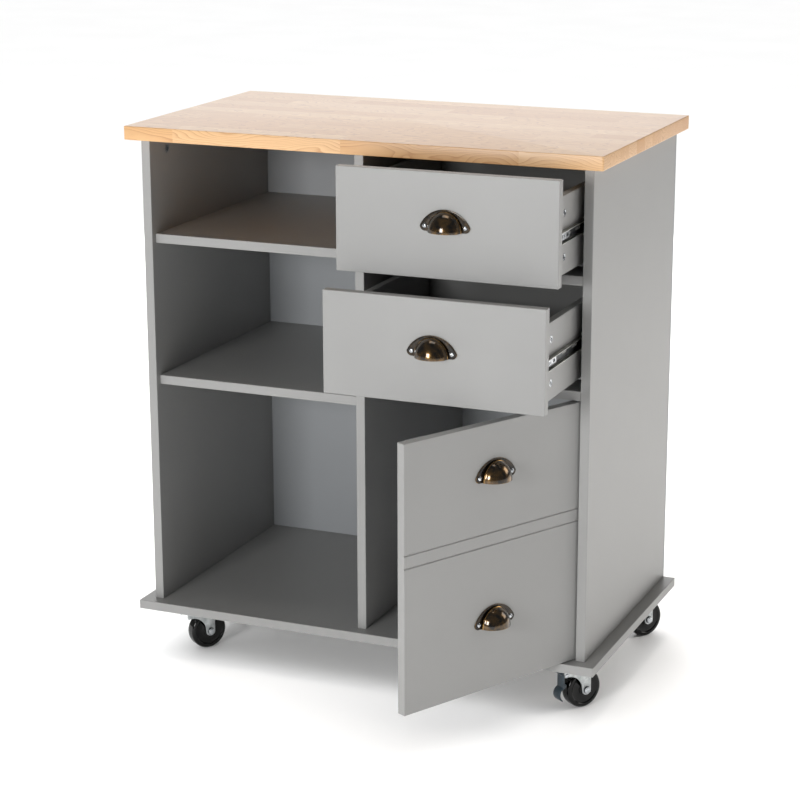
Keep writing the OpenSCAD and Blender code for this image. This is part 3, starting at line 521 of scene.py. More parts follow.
class Bench:
    """The bench on which pieces are modelled with Blender's own operators."""

    @staticmethod
    def clear() -> None:
        """Deselects every object."""
        bpy.ops.object.select_all(action="DESELECT")

    @staticmethod
    def hold(piece: Piece) -> None:
        """Makes a piece the only selected and active one.

        Args:
            piece: the piece.
        """
        Bench.clear()
        piece.select_set(True)
        bpy.context.view_layer.objects.active = piece

    @staticmethod
    def edit(piece: Piece, kind: Element = Element.EDGE) -> None:
        """Opens a piece in edit mode with all of it selected.

        Args:
            piece: the piece.
            kind: what the selection is made of.
        """
        Bench.hold(piece)
        bpy.ops.object.mode_set(mode="EDIT")
        bpy.ops.mesh.select_mode(type=kind.value)
        bpy.ops.mesh.select_all(action="SELECT")

    @staticmethod
    def leave() -> None:
        """Leaves edit mode."""
        bpy.ops.object.mode_set(mode="OBJECT")

    @staticmethod
    def named(name: str) -> Piece:
        """Names the piece that was just added, with its mesh.

        Args:
            name: its name.

        Returns:
            The piece.
        """
        piece = bpy.context.active_object
        piece.name = name
        piece.data.name = name
        return piece

    @staticmethod
    def settle(piece: Piece) -> None:
        """Applies a piece's place, turn and size to its mesh."""
        Bench.hold(piece)
        bpy.ops.object.transform_apply(location=True, rotation=True, scale=True)

    @staticmethod
    def move(piece: Piece, matrix: Matrix) -> None:
        """Moves a piece's mesh by a matrix."""
        piece.matrix_world = matrix @ piece.matrix_world
        Bench.settle(piece)

    @staticmethod
    def copy(piece: Piece, name: str, matrix: Matrix) -> Piece:
        """Copies a piece with its own mesh.

        Args:
            piece: the piece to copy.
            name: the copy's name.
            matrix: how the copy is moved.

        Returns:
            The copy.
        """
        Bench.hold(piece)
        bpy.ops.object.duplicate(linked=False)
        made = Bench.named(name)
        Bench.move(made, matrix)
        return made

    @staticmethod
    def join(pieces: list[Piece], name: str) -> Piece:
        """Joins pieces into the first one and names it.

        Args:
            pieces: the pieces, of which the first stays.
            name: the joined piece's name.

        Returns:
            The joined piece.
        """
        Bench.clear()
        for piece in pieces:
            piece.select_set(True)
        bpy.context.view_layer.objects.active = pieces[0]
        bpy.ops.object.join()
        return Bench.named(name)

    @staticmethod
    def block(name: str, low: Vector, high: Vector) -> Piece:
        """Adds a box between two corners.

        Args:
            name: the piece's name.
            low: its lowest corner.
            high: its highest corner.

        Returns:
            The piece.
        """
        Bench.clear()
        bpy.ops.mesh.primitive_cube_add(size=1, location=(low + high) / 2)
        piece = Bench.named(name)
        piece.scale = high - low
        Bench.settle(piece)
        return piece

    @staticmethod
    def path(name: str, points: list[Point]) -> Piece:
        """Draws a chain of edges through points by extruding one vertex.

        Args:
            name: the piece's name.
            points: the chain's points, in order.

        Returns:
            The piece.
        """
        Bench.clear()
        bpy.ops.mesh.primitive_plane_add(size=MM)
        piece = Bench.named(name)
        Bench.edit(piece, Element.POINT)
        bpy.ops.mesh.merge(type="CENTER")
        bpy.ops.transform.translate(value=points[0])
        for start, end in zip(points, points[1:]):
            step = tuple(b - a for a, b in zip(start, end))
            bpy.ops.mesh.extrude_region_move(TRANSFORM_OT_translate={"value": step})
        Bench.leave()
        return piece

    @staticmethod
    def lathe(name: str, outline: Iterable[Flat], steps: int) -> Piece:
        """Turns a solid of revolution about Z.

        Args:
            name: the piece's name.
            outline: radii and heights, from the lowest point on or near the axis to the highest.
            steps: how many sides the turn has.

        Returns:
            The piece.
        """
        piece = Bench.path(name, [(r, 0.0, z) for r, z in outline])
        Bench.edit(piece, Element.POINT)
        bpy.ops.mesh.spin(steps=steps, angle=FULL_TURN, center=(0, 0, 0), axis=(0, 0, 1))
        Bench.close()
        return piece

    @staticmethod
    def close() -> None:
        """Merges doubles, turns the normals outwards and leaves edit mode."""
        bpy.ops.mesh.select_all(action="SELECT")
        bpy.ops.mesh.remove_doubles(threshold=MERGE_GAP)
        bpy.ops.mesh.normals_make_consistent(inside=False)
        Bench.leave()

    @staticmethod
    def plate(name: str, outline: list[Point], thickness: Vector) -> Piece:
        """Makes a flat plate: an outline that is filled and extruded.

        Args:
            name: the piece's name.
            outline: its corners, in order round it.
            thickness: how far, and which way, it is extruded.

        Returns:
            The piece.
        """
        piece = Bench.path(name, outline)
        Bench.edit(piece, Element.POINT)
        bpy.ops.mesh.edge_face_add()
        bpy.ops.mesh.extrude_region_move(TRANSFORM_OT_translate={"value": thickness})
        Bench.close()
        return piece

    @staticmethod
    def select(piece: Piece, kind: Element, test: Test) -> None:
        """Selects a piece's points or edges by their place, and leaves it in edit mode.

        Args:
            piece: the piece.
            kind: which of the two is selected.
            test: says from a point's place and normal, or from an edge's middle and direction, if
                it is selected.
        """
        Bench.edit(piece, kind)
        bpy.ops.mesh.select_all(action="DESELECT")
        mesh = bmesh.from_edit_mesh(piece.data)
        if kind is Element.POINT:
            rows = [(point, point.co, point.normal) for point in mesh.verts]
        else:
            ends = [(edge, *(point.co for point in edge.verts)) for edge in mesh.edges]
            rows = [(edge, (a + b) / 2, (b - a).normalized()) for edge, a, b in ends]
        for element, middle, way in rows:
            if test(middle, way):
                element.select_set(True)
        mesh.select_flush_mode()
        bmesh.update_edit_mesh(piece.data)

    @staticmethod
    def round_corners(piece: Piece, axis: int, width: float) -> None:
        """Rounds the corners that run along an axis, with four steps.

        Args:
            piece: the piece.
            axis: 0, 1 or 2 for X, Y or Z.
            width: the bevel's width.
        """
        Bench.select(piece, Element.EDGE, lambda middle, way: abs(way[axis]) > 0.9)
        bpy.ops.mesh.bevel(offset=width, segments=4, affect="EDGES")
        Bench.leave()

    @staticmethod
    def round_edges(
        piece: Piece, width: float, segments: int = 3, angle: float = 40
    ) -> None:
        """Rounds the edges that turn by more than an angle, with an applied bevel modifier.

        Args:
            piece: the piece.
            width: the bevel's width.
            segments: how many steps it has.
            angle: the least angle between two faces, in degrees.
        """
        Bench.hold(piece)
        bevel = piece.modifiers.new("rounding", "BEVEL")
        bevel.width = width
        bevel.segments = segments
        bevel.limit_method = "ANGLE"
        bevel.angle_limit = math.radians(angle)
        bpy.ops.object.modifier_apply(modifier=bevel.name)

    @staticmethod
    def cut(piece: Piece, tool: Piece) -> None:
        """Cuts a tool's shape out of a piece and removes the tool.

        Args:
            piece: the piece.
            tool: the tool.
        """
        Bench.hold(piece)
        boolean = piece.modifiers.new("cut", "BOOLEAN")
        boolean.operation = "DIFFERENCE"
        boolean.solver = "EXACT"
        boolean.object = tool
        bpy.ops.object.modifier_apply(modifier=boolean.name)
        bpy.data.objects.remove(tool)

    @staticmethod
    def smooth(piece: Piece, angle: float = 35) -> None:
        """Shades a piece smooth, apart from edges over an angle in degrees."""
        Bench.hold(piece)
        bpy.ops.object.shade_smooth_by_angle(angle=math.radians(angle))

    @staticmethod
    def coat(piece: Piece, finish: Finish) -> None:
        """Gives a piece one finish all over."""
        piece.data.materials.clear()
        piece.data.materials.append(finish.material())

    @staticmethod
    def trim(piece: Piece, finish: Finish, test: Test) -> None:
        """Gives some of a piece's faces a second finish.

        Args:
            piece: the piece.
            finish: the second finish.
            test: says from a face's middle and normal if it takes it.
        """
        piece.data.materials.append(finish.material())
        index = len(piece.data.materials) - 1
        for face in piece.data.polygons:
            if test(face.center, face.normal):
                face.material_index = index


    @staticmethod
    def install(piece: Piece, node: str, slot: str, body: str) -> None:
        """Puts a piece in a CAD node's stead and reports it.

        Args:
            piece: the finished piece.
            node: the node that it replaces.
            slot: its material slot; not used.
            body: the body that it rides on.
        """
        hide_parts(node)
        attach(piece, body)
        LOG.info("%s: %d faces on %s", piece.name, len(piece.data.polygons), body)

    @staticmethod
    def drop(*patterns: Piece) -> None:
        """Removes patterns whose copies are in place."""
        for pattern in patterns:
            bpy.data.objects.remove(pattern)


def arc(centre: Flat, radius: float, start: float, end: float, steps: int) -> list[Flat]:
    """Points on an arc of so many steps, from a start to an end in degrees, with both ends."""
    angles = [math.radians(start + (end - start) * i / steps) for i in range(steps + 1)]
    return [(centre[0] + radius * math.cos(a), centre[1] + radius * math.sin(a)) for a in angles]


def cross_cut(piece: Piece, half: Flat, span: Flat, turn: float) -> None:
    """Cuts a cross recess for a screwdriver about Z.

    Args:
        piece: the head or disc.
        half: half a slot's length and half its width.
        span: its lowest and highest point.
        turn: the first slot's angle about Z.
    """
    for angle in (turn, turn + QUARTER_TURN):
        low = Vector((-half[0], -half[1], span[0]))
        slot = Bench.block("slot", low, Vector((*half, span[1])))
        Bench.move(slot, Matrix.Rotation(angle, 4, "Z"))
        Bench.cut(piece, slot)


def in_mm(*points: Flat) -> list[Flat]:
    """An outline given in millimetres, in metres."""
    return [(a * MM, b * MM) for a, b in points]


# ---- sub-assemblies ----


@dataclass
class Worktop:
    """The worktop: one board of edge-glued staves with softened edges."""

    node: str = "worktop"
    edge_round: float = 1.2 * MM
    corner_round: float = 2.5 * MM

    def build(self) -> None:
        """Models the board, rounds its upright corners and then all its edges, and dresses it."""
        low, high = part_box(self.node)
        board = Bench.block("worktop_staves", low, high)
        Bench.round_corners(board, 2, self.corner_round)
        Bench.round_edges(board, self.edge_round, 4, 50)
        Bench.smooth(board)
        Bench.coat(board, TIMBER)
        Bench.install(board, self.node, "worktop_timber", "cart")


@dataclass
class CupPull:
    """A cup pull of blackened brass: a flange with a rubbed rim under a painted highlight, and a
    domed cup with a ridge whose crest carries a painted highlight.
    """

    screw_centres: float = 64 * MM
    end_radius: float = 8 * MM
    rise: float = 25.5 * MM
    reach: float = 24 * MM
    flange: float = 1.8 * MM
    wall: float = 1.3 * MM
    cup_inset: float = 5 * MM
    crown_inset: float = 3 * MM
    ridge_out: float = 4.6 * MM
    ridge_half: float = 0.8 * MM
    ridge_swell: float = 1.035
    rim_width: float = 1.5 * MM
    face_band: float = 0.8 * MM
    flange_round: float = 0.55 * MM
    cup_round: float = 0.4 * MM
    cup_segments: int = 56
    foot_steps: int = 8
    arch_steps: int = 36

    @property
    def cup_half(self) -> float:
        """Half the cup's width."""
        return self.screw_centres / 2 - self.cup_inset

    @property
    def cup_rise(self) -> float:
        """The cup's height from its open edge."""
        return self.rise + self.end_radius - self.crown_inset

    def flange_path(self) -> list[Flat]:
        """Draws the flange's outer edge, from the left foot over the arch to the right foot.

        Returns:
            Its points in X and Z.
        """
        foot = self.screw_centres / 2
        half = foot + self.end_radius
        radius = (half**2 + self.rise**2) / (2 * self.rise)
        side = math.degrees(math.asin(half / radius))
        left = arc((-foot, 0), self.end_radius, 270, 180, self.foot_steps)
        arch = arc((0, self.rise - radius), radius, 90 + side, 90 - side, self.arch_steps)
        right = arc((foot, 0), self.end_radius, 0, -90, self.foot_steps)
        return left + arch[1:-1] + right

    def make_flange(self) -> Piece:
        """Bridges the flange's outer and inner edges, thickens the strip and rounds its rim.

        Returns:
            The flange.
        """
        outer = self.flange_path()
        half, rise = self.cup_half - self.wall, self.cup_rise - self.wall
        turns = [math.pi * i / (len(outer) - 1) for i in range(len(outer))]
        inner = [(-half * math.cos(a), -self.end_radius + rise * math.sin(a)) for a in turns]
        edges = [
            Bench.path(name, [(x, 0.0, z) for x, z in points])
            for name, points in (("flange_outer", outer), ("flange_inner", inner))
        ]
        strip = Bench.join(edges, "flange")
        Bench.edit(strip)
        bpy.ops.mesh.bridge_edge_loops()
        bpy.ops.mesh.select_all(action="SELECT")
        bpy.ops.mesh.extrude_region_move(TRANSFORM_OT_translate={"value": (0, -self.flange, 0)})
        Bench.close()
        Bench.round_edges(strip, self.flange_round, 3, 50)
        return strip

    def make_cup(self) -> Piece:
        """Cuts a quarter from a stretched sphere, raises its ridge and gives it a wall.

        Returns:
            The cup.
        """
        Bench.clear()
        bpy.ops.mesh.primitive_uv_sphere_add(
            segments=self.cup_segments,
            ring_count=self.cup_segments // 2,
            radius=1,
            rotation=(QUARTER_TURN, 0, 0),
        )
        cup = Bench.named("cup")
        cup.scale = (self.cup_half, self.cup_rise, self.reach)
        Bench.settle(cup)
        mouth = (0, 0, -self.end_radius)
        Bench.move(cup, Matrix.Translation(mouth))
        # the open side below, the hidden side in the flange, and three rings for the ridge
        cuts = [(mouth, (0, 0, 1), True), ((0, -0.4 * self.flange, 0), (0, -1, 0), True)]
        for offset in (-self.ridge_half, 0.0, self.ridge_half):
            cuts.append(((0, -self.ridge_out + offset, 0), (0, -1, 0), False))
        for place, normal, clear in cuts:
            Bench.edit(cup)
            bpy.ops.mesh.bisect(plane_co=place, plane_no=normal, clear_inner=clear)
            Bench.leave()
        crest = self.ridge_out
        Bench.select(cup, Element.POINT, lambda middle, way: abs(middle.y + crest) < 0.01 * MM)
        swell = (self.ridge_swell, 1, self.ridge_swell)
        bpy.ops.transform.resize(value=swell, center_override=mouth)
        Bench.leave()
        Bench.hold(cup)
        wall = cup.modifiers.new("wall", "SOLIDIFY")
        wall.thickness = self.wall
        wall.offset = -1
        bpy.ops.object.modifier_apply(modifier=wall.name)
        Bench.round_edges(cup, self.cup_round, 2, 60)
        return cup

    def build(self) -> Piece:
        """Joins the flange and the cup and dresses them.

        Returns:
            The pull on a board whose face is at y = 0, with its screw line on z = 0.
        """
        pull = Bench.join([self.make_flange(), self.make_cup()], "pull")
        Bench.smooth(pull, 38)
        Bench.coat(pull, PATINA)
        outline = self.flange_path()
        front = -self.flange * 1.01
        square_on = -0.93

        def on_rim_rubbed_and_highlighted(middle: Vector, way: Vector) -> bool:
            """Finds the flange's rounded rim, rubbed and under a painted highlight, and the cup's
            open edge, rubbed.

            Args:
                middle: a face's middle.
                way: its normal.

            Returns:
                Whether the face is one of them.
            """
            if front < middle.y < -self.flange + self.face_band and way.y < -0.2:
                near = min(math.hypot(middle.x - x, middle.z - z) for x, z in outline)
                return near < self.rim_width and way.y > square_on
            return middle.z < -self.end_radius + 0.5 * MM and middle.y < -self.flange

        def on_flat_painted_dark(middle: Vector, way: Vector) -> bool:
            """The flat front of the flange, which is painted dark in place of a dark reflection."""
            return way.y < square_on and front < middle.y < -self.flange + self.face_band

        def on_ridge_painted_highlight(middle: Vector, way: Vector) -> bool:
            """The crest of the ridge that runs round the cup, which takes a painted highlight."""
            return abs(middle.y + self.ridge_out) < 0.7 * self.ridge_half and way.z > -0.2

        # rubbed brass with a painted highlight on the rims
        Bench.trim(pull, RUBBED_AND_PAINTED_HIGHLIGHT, on_rim_rubbed_and_highlighted)
        # painted dark reflection on the flange's flat front
        Bench.trim(pull, FLANGE_PAINTED_DARK_REFLECTION, on_flat_painted_dark)
        # painted highlight along the ridge's crest
        Bench.trim(pull, RUBBED_AND_PAINTED_HIGHLIGHT, on_ridge_painted_highlight)
        return pull


@dataclass
class Pulls:
    """The four cup pulls of the drawers and the door."""

    places: dict[str, str] = field(
        default_factory=lambda: {
            "upper_drawer_pull": "upper_drawer",
            "lower_drawer_pull": "lower_drawer",
            "door_pull_upper": "door",
            "door_pull_lower": "door",
        }
    )

    def build(self) -> None:
        """Models one pull and puts a copy in each node's place."""
        shape = CupPull()
        pattern = shape.build()
        for node, body in self.places.items():
            piece = Bench.copy(pattern, node + "_cast", self.seat(node, body, shape))
            Bench.install(piece, node, "antique_brass", body)
        Bench.drop(pattern)

    @staticmethod
    def seat(node: str, body: str, shape: CupPull) -> Matrix:
        """Finds where a pull sits.

        Args:
            node: the CAD pull.
            body: the drawer or door that it is on.
            shape: the pull's sizes.

        Returns:
            The matrix from the pull's own frame.
        """
        spin = Matrix.Rotation(DOOR_ANGLE if body == "door" else 0.0, 4, "Z")
        points = [spin.inverted() @ v.co for v in bpy.data.objects[node].data.vertices]
        middle = (min(p.x for p in points) + max(p.x for p in points)) / 2
        face = max(p.y for p in points)
        foot = min(p.z for p in points)
        return spin @ Matrix.Translation((middle, face, foot + shape.end_radius))


@dataclass
class PullScrews:
    """The screws of the pulls: each CAD head gives way to a domed head with a cross recess."""

    nodes: dict[str, tuple[str, tuple[str, ...]]] = field(
        default_factory=lambda: {
            "upper_drawer_screws": ("upper_drawer", ("upper_drawer_pull",)),
            "lower_drawer_screws": ("lower_drawer", ("lower_drawer_pull",)),
            "door_screws": ("door", ("door_pull_upper", "door_pull_lower")),
        }
    )
    head_radius: float = 3.5 * MM
    head_height: float = 2.1 * MM
    head_skirt: float = 0.5 * MM
    skirt_taper: float = 0.96
    recess: float = 0.9 * MM
    recess_half: Flat = (1.82 * MM, 0.385 * MM)
    crown_steps: int = 8

    def make_head(self) -> Piece:
        """Turns a dome and cuts a cross into it.

        Returns:
            The head, standing on z = 0.
        """
        r, h = self.head_radius, self.head_height
        crown = arc((0.0, 0.0), 1.0, 0, 90, self.crown_steps)
        dome = [(r * x, self.head_skirt + (h - self.head_skirt) * z) for x, z in crown[:-1]]
        foot = [(0.0, 0.0), (r * self.skirt_taper, 0.0)]
        head = Bench.lathe("screw_head", [*foot, *dome, (0.0, h)], 40)
        cross_cut(head, self.recess_half, (h - self.recess, h + MM), 0.0)
        return head

    def build(self) -> None:
        """Swaps the heads of every pull screw and keeps the shanks."""
        shape = CupPull()
        pattern = self.make_head()
        stand = Matrix.Rotation(QUARTER_TURN, 4, "X")
        for node, (body, pulls) in self.nodes.items():
            screws = Bench.copy(bpy.data.objects[node], node + "_domed", Matrix())
            heads = []
            for pull in pulls:
                seat = Pulls.seat(pull, body, shape)
                for side in (-0.5, 0.5):
                    foot = (side * shape.screw_centres, -shape.flange, 0)
                    place = seat @ Matrix.Translation(foot) @ stand
                    self.clear_head(screws, place)
                    heads.append(Bench.copy(pattern, "head", place))
            piece = Bench.join([screws, *heads], screws.name)
            Bench.coat(piece, BRIGHT_ZINC)
            Bench.smooth(piece)
            Bench.install(piece, node, "screw_zinc", body)
        Bench.drop(pattern)

    def clear_head(self, screws: Piece, place: Matrix) -> None:
        """Removes one CAD head.

        Args:
            screws: the set of screws.
            place: the frame that the head stands in.
        """
        back = place.inverted()
        reach = self.head_radius + 0.3 * MM

        def in_head(middle: Vector, way: Vector) -> bool:
            """Points of the CAD head, on and over the flange."""
            at = back @ middle
            return at.z > -0.02 * MM and math.hypot(at.x, at.y) < reach

        Bench.select(screws, Element.POINT, in_head)
        bpy.ops.mesh.delete(type="VERT")
        Bench.leave()


@dataclass
class DrawerCams:
    """The cam locks that show in the drawer sides, with the bolts that they draw."""

    radius: float = 6 * MM
    deep: float = 9.5 * MM
    dish: float = 0.5 * MM
    rim_round: float = 0.4 * MM
    rim_in: float = 1.2 * MM
    recess: float = 2.4 * MM
    recess_half: Flat = (3.6 * MM, 0.78 * MM)
    recess_turn: float = 0.4
    painted_shade_depth: float = 3 * MM
    behind_front: float = 34 * MM
    spread: float = 33.04 * MM
    bolt_radius: float = 2.5 * MM
    bolt_in_front: float = 9 * MM
    thread_pitch: float = 0.5 * MM

    def make_disc(self) -> Piece:
        """Turns a disc with a raised ring, cuts a cross into it and paints shade in the cross.

        Returns:
            The disc, with its face on z = 0.
        """
        r, dish = self.radius, -self.dish
        ring = [
            (0.0, -self.deep), (r, -self.deep), (r, dish), (r - self.rim_round, 0.0),
            (r - self.rim_in, 0.0), (r - self.rim_in - self.rim_round, dish), (0.0, dish),
        ]
        disc = Bench.lathe("cam", ring, 40)
        cross_cut(disc, self.recess_half, (-self.recess, MM), self.recess_turn)
        Bench.coat(disc, BRIGHT_ZINC)
        # painted shade: the walls and floor of the cross recess take the dark finish
        low, high = -self.painted_shade_depth, dish - 0.05 * MM
        Bench.trim(disc, OILED_STEEL_AND_PAINTED_SHADE, lambda middle, way: low < middle.z < high)
        return disc

    def make_bolt(self) -> Piece:
        """Turns the part of a bolt from the cam's edge to its threaded end.

        Returns:
            The bolt, standing on z = 0.
        """
        r, pitch = self.bolt_radius, self.thread_pitch
        length = self.behind_front - self.radius + self.bolt_in_front
        start = length - self.bolt_in_front
        thread = [
            (r - (pitch if i % 2 else 0.0), start + i * pitch)
            for i in range(int(self.bolt_in_front / pitch))
        ]
        bolt = Bench.lathe("bolt", [(0.0, 0.0), (r, 0.0), *thread, (0.0, length)], 20)
        Bench.coat(bolt, BRIGHT_ZINC)
        return bolt

    def build(self) -> None:
        """Puts two cams and bolts in each side of each drawer."""
        disc, bolt = self.make_disc(), self.make_bolt()
        lie = Matrix.Rotation(QUARTER_TURN, 4, "X")
        for drawer in DRAWERS:
            low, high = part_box(drawer + "_cams")
            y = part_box(drawer + "_left")[0].y + self.behind_front
            middle = (low.z + high.z) / 2
            parts = []
            for z in (middle - self.spread, middle + self.spread):
                for x, side in ((low.x, -1), (high.x, 1)):
                    face = Matrix.Translation((x, y, z))
                    turn = Matrix.Rotation(side * QUARTER_TURN, 4, "Y")
                    parts.append(Bench.copy(disc, "disc", face @ turn))
                    core = Matrix.Translation((x - side * self.deep / 2, y - self.radius, z))
                    parts.append(Bench.copy(bolt, "bolt", core @ lie))
            piece = Bench.join(parts, drawer + "_turned_cams")
            Bench.smooth(piece)
            Bench.install(piece, drawer + "_cams", "cam_zinc", drawer)
        Bench.drop(disc, bolt)


@dataclass
class Slides:
    """The ball-bearing slides: rolled channels on the bay walls and members on the drawers."""

    gap: float = 10.5 * MM
    sheet: float = 1 * MM
    length: float = 350 * MM
    setback: float = 18 * MM
    channel_half: float = 13.5 * MM
    channel_deep: float = 8.5 * MM
    member_half: float = 8.75 * MM
    member_deep: float = 7.5 * MM
    ball_in: float = 5.25 * MM
    race_dip: float = 0.3 * MM
    race_half: float = 1.6 * MM
    corner: float = 1.6 * MM
    slot_starts_mm: tuple[int, ...] = (34, 78, 122, 200, 244, 288)
    slot_size_mm: Point = (3, 22, 3.8)
    slot_round: float = 1.8 * MM
    stop_size_mm: Point = (1.4, 46, 11.2)
    stop_setback: float = 1.5 * MM
    stop_round: float = 0.25 * MM
    windows_mm: tuple[tuple[int, int], ...] = ((6, 5), (15, 3), (22, 3), (34, 8))
    window_half_mm: float = 2.4
    window_deep_mm: float = 4
    curve_steps: int = 8

    def profile(self, half: float, deep: float, dip: float) -> list[Flat]:
        """Draws a rolled C section that opens along +X with its web on x = 0.

        Args:
            half: half its height.
            deep: its depth.
            dip: how far its flanges dip inwards at the balls.

        Returns:
            The closed outline in X and Z.
        """
        ball = self.ball_in if deep > self.member_deep else self.gap - self.ball_in
        shares = [i / self.curve_steps for i in range(self.curve_steps + 1)]
        sides = []
        for inset in (0.0, self.sheet):
            edge = arc((self.corner, half - self.corner), self.corner - inset, 180, 90, 6)
            for share in shares:
                x = ball + self.race_half * (2 * share - 1)
                edge.append((x, half - inset - dip * math.sin(math.pi * share)))
            sides.append([*edge, (deep, half - inset)])
        upper = sides[0] + sides[1][::-1]
        return upper + [(x, -z) for x, z in reversed(upper)]

    def make_rail(self, name: str, half: float, deep: float, dip: float) -> Piece:
        """Extrudes a rolled section, stamps slots through its web and paints shade on the web's
        inner face.

        Args:
            name: the rail's name.
            half: half its height.
            deep: its depth.
            dip: how far its flanges dip at the balls.

        Returns:
            The rail, which runs along +Y from y = 0.
        """
        outline = [(x, 0.0, z) for x, z in self.profile(half, deep, dip)]
        rail = Bench.plate(name, outline, Vector((0, self.length, 0)))
        size = Vector(self.slot_size_mm) * MM
        slots = []
        for start in self.slot_starts_mm:
            low = Vector((-MM, start * MM, -size.z / 2))
            slots.append(Bench.block("slot", low, low + size))
            Bench.round_corners(slots[-1], 0, self.slot_round)
        Bench.cut(rail, Bench.join(slots, "slots"))
        Bench.coat(rail, SLIDE_ZINC)
        # painted shade: the inner face of the web is made dark, as the inside of the channel is in
        # shade
        web = half - 1.5 * self.sheet
        Bench.trim(rail, OILED_STEEL_AND_PAINTED_SHADE, lambda middle, way: way.x > 0.9 and abs(middle.z) < web)
        Bench.smooth(rail, 30)
        return rail

    def make_stop(self) -> Piece:
        """Makes a bright pressed stop with windows, which lies in the front of a member.

        Returns:
            The stop.
        """
        size = Vector(self.stop_size_mm) * MM
        low = Vector((self.sheet, self.stop_setback, -size.z / 2))
        stop = Bench.block("stop", low, low + size)
        half, deep = self.window_half_mm, self.window_deep_mm
        windows = []
        for start, wide in self.windows_mm:
            low, high = Vector((0, start, -half)), Vector((deep, start + wide, half))
            windows.append(Bench.block("window", low * MM, high * MM))
        Bench.cut(stop, Bench.join(windows, "windows"))
        Bench.round_edges(stop, self.stop_round, 2, 40)
        Bench.coat(stop, BRIGHT_ZINC)
        return stop

    def build(self) -> None:
        """Puts the members on the drawers and the channels in the bay."""
        bay_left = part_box("divider")[1].x
        bay_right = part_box("right_side")[0].x
        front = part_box("left_side")[0].y + self.setback
        rail = self.make_rail("member", self.member_half, self.member_deep, self.race_dip)
        member = Bench.join([rail, self.make_stop()], "member")
        channel = self.make_rail("channel", self.channel_half, self.channel_deep, 0.0)
        flip = Matrix.Rotation(math.pi, 4, "Z") @ Matrix.Translation((0, -self.length, 0))

        def pair(
            pattern: Piece, ends: tuple[float, float, float, float], right_first: bool
        ) -> list[Piece]:
            """Copies a rail to both sides of the bay.

            Args:
                pattern: the rail.
                ends: the left and right X, the Y and the Z that the copies start from.
                right_first: whether the plain copy is the right one.

            Returns:
                The plain copy and the turned one.
            """
            left, right, y, z = ends
            plain, turned = (right, left) if right_first else (left, right)
            return [
                Bench.copy(pattern, "side", Matrix.Translation((plain, y, z))),
                Bench.copy(pattern, "side", Matrix.Translation((turned, y, z)) @ flip),
            ]

        channels = []
        for drawer in DRAWERS:
            low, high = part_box(drawer + "_slides")
            z = (low.z + high.z) / 2
            inner = (bay_left + self.gap, bay_right - self.gap, low.y, z)
            piece = Bench.join(pair(member, inner, True), drawer + "_rolled_members")
            Bench.install(piece, drawer + "_slides", "slide_steel", drawer)
            channels += pair(channel, (bay_left, bay_right, front, z), False)
        piece = Bench.join(channels, "slide_channels_rolled")
        Bench.install(piece, "slide_channels", "slide_steel", "cart")
        Bench.drop(member, channel)


@dataclass
class Softened:
    """Small CAD fittings whose edges are rounded as pressing and moulding leave them."""

    nodes: dict[str, tuple[str, str, Finish, float]] = field(
        default_factory=lambda: {
            "brake_pedal_front": ("pedal_front", "pedal_steel", ENAMEL, 0.5),
            "brake_pedal_back": ("pedal_back", "pedal_steel", ENAMEL, 0.5),
            "door_catch": ("cart", "white_plastic", SOCKET_WHITE, 0.4),
        }
    )

    def build(self) -> None:
        """Copies each node, joins its flat faces, rounds its edges and dresses it."""
        for node, (body, slot, finish, width) in self.nodes.items():
            piece = Bench.copy(bpy.data.objects[node], node + "_softened", Matrix())
            Bench.edit(piece)
            bpy.ops.mesh.remove_doubles(threshold=MERGE_GAP)
            bpy.ops.mesh.dissolve_limited(angle_limit=math.radians(2))
            Bench.leave()
            Bench.round_edges(piece, width * MM, 2, 50)
            Bench.smooth(piece)
            Bench.coat(piece, finish)
            Bench.install(piece, node, slot, body)


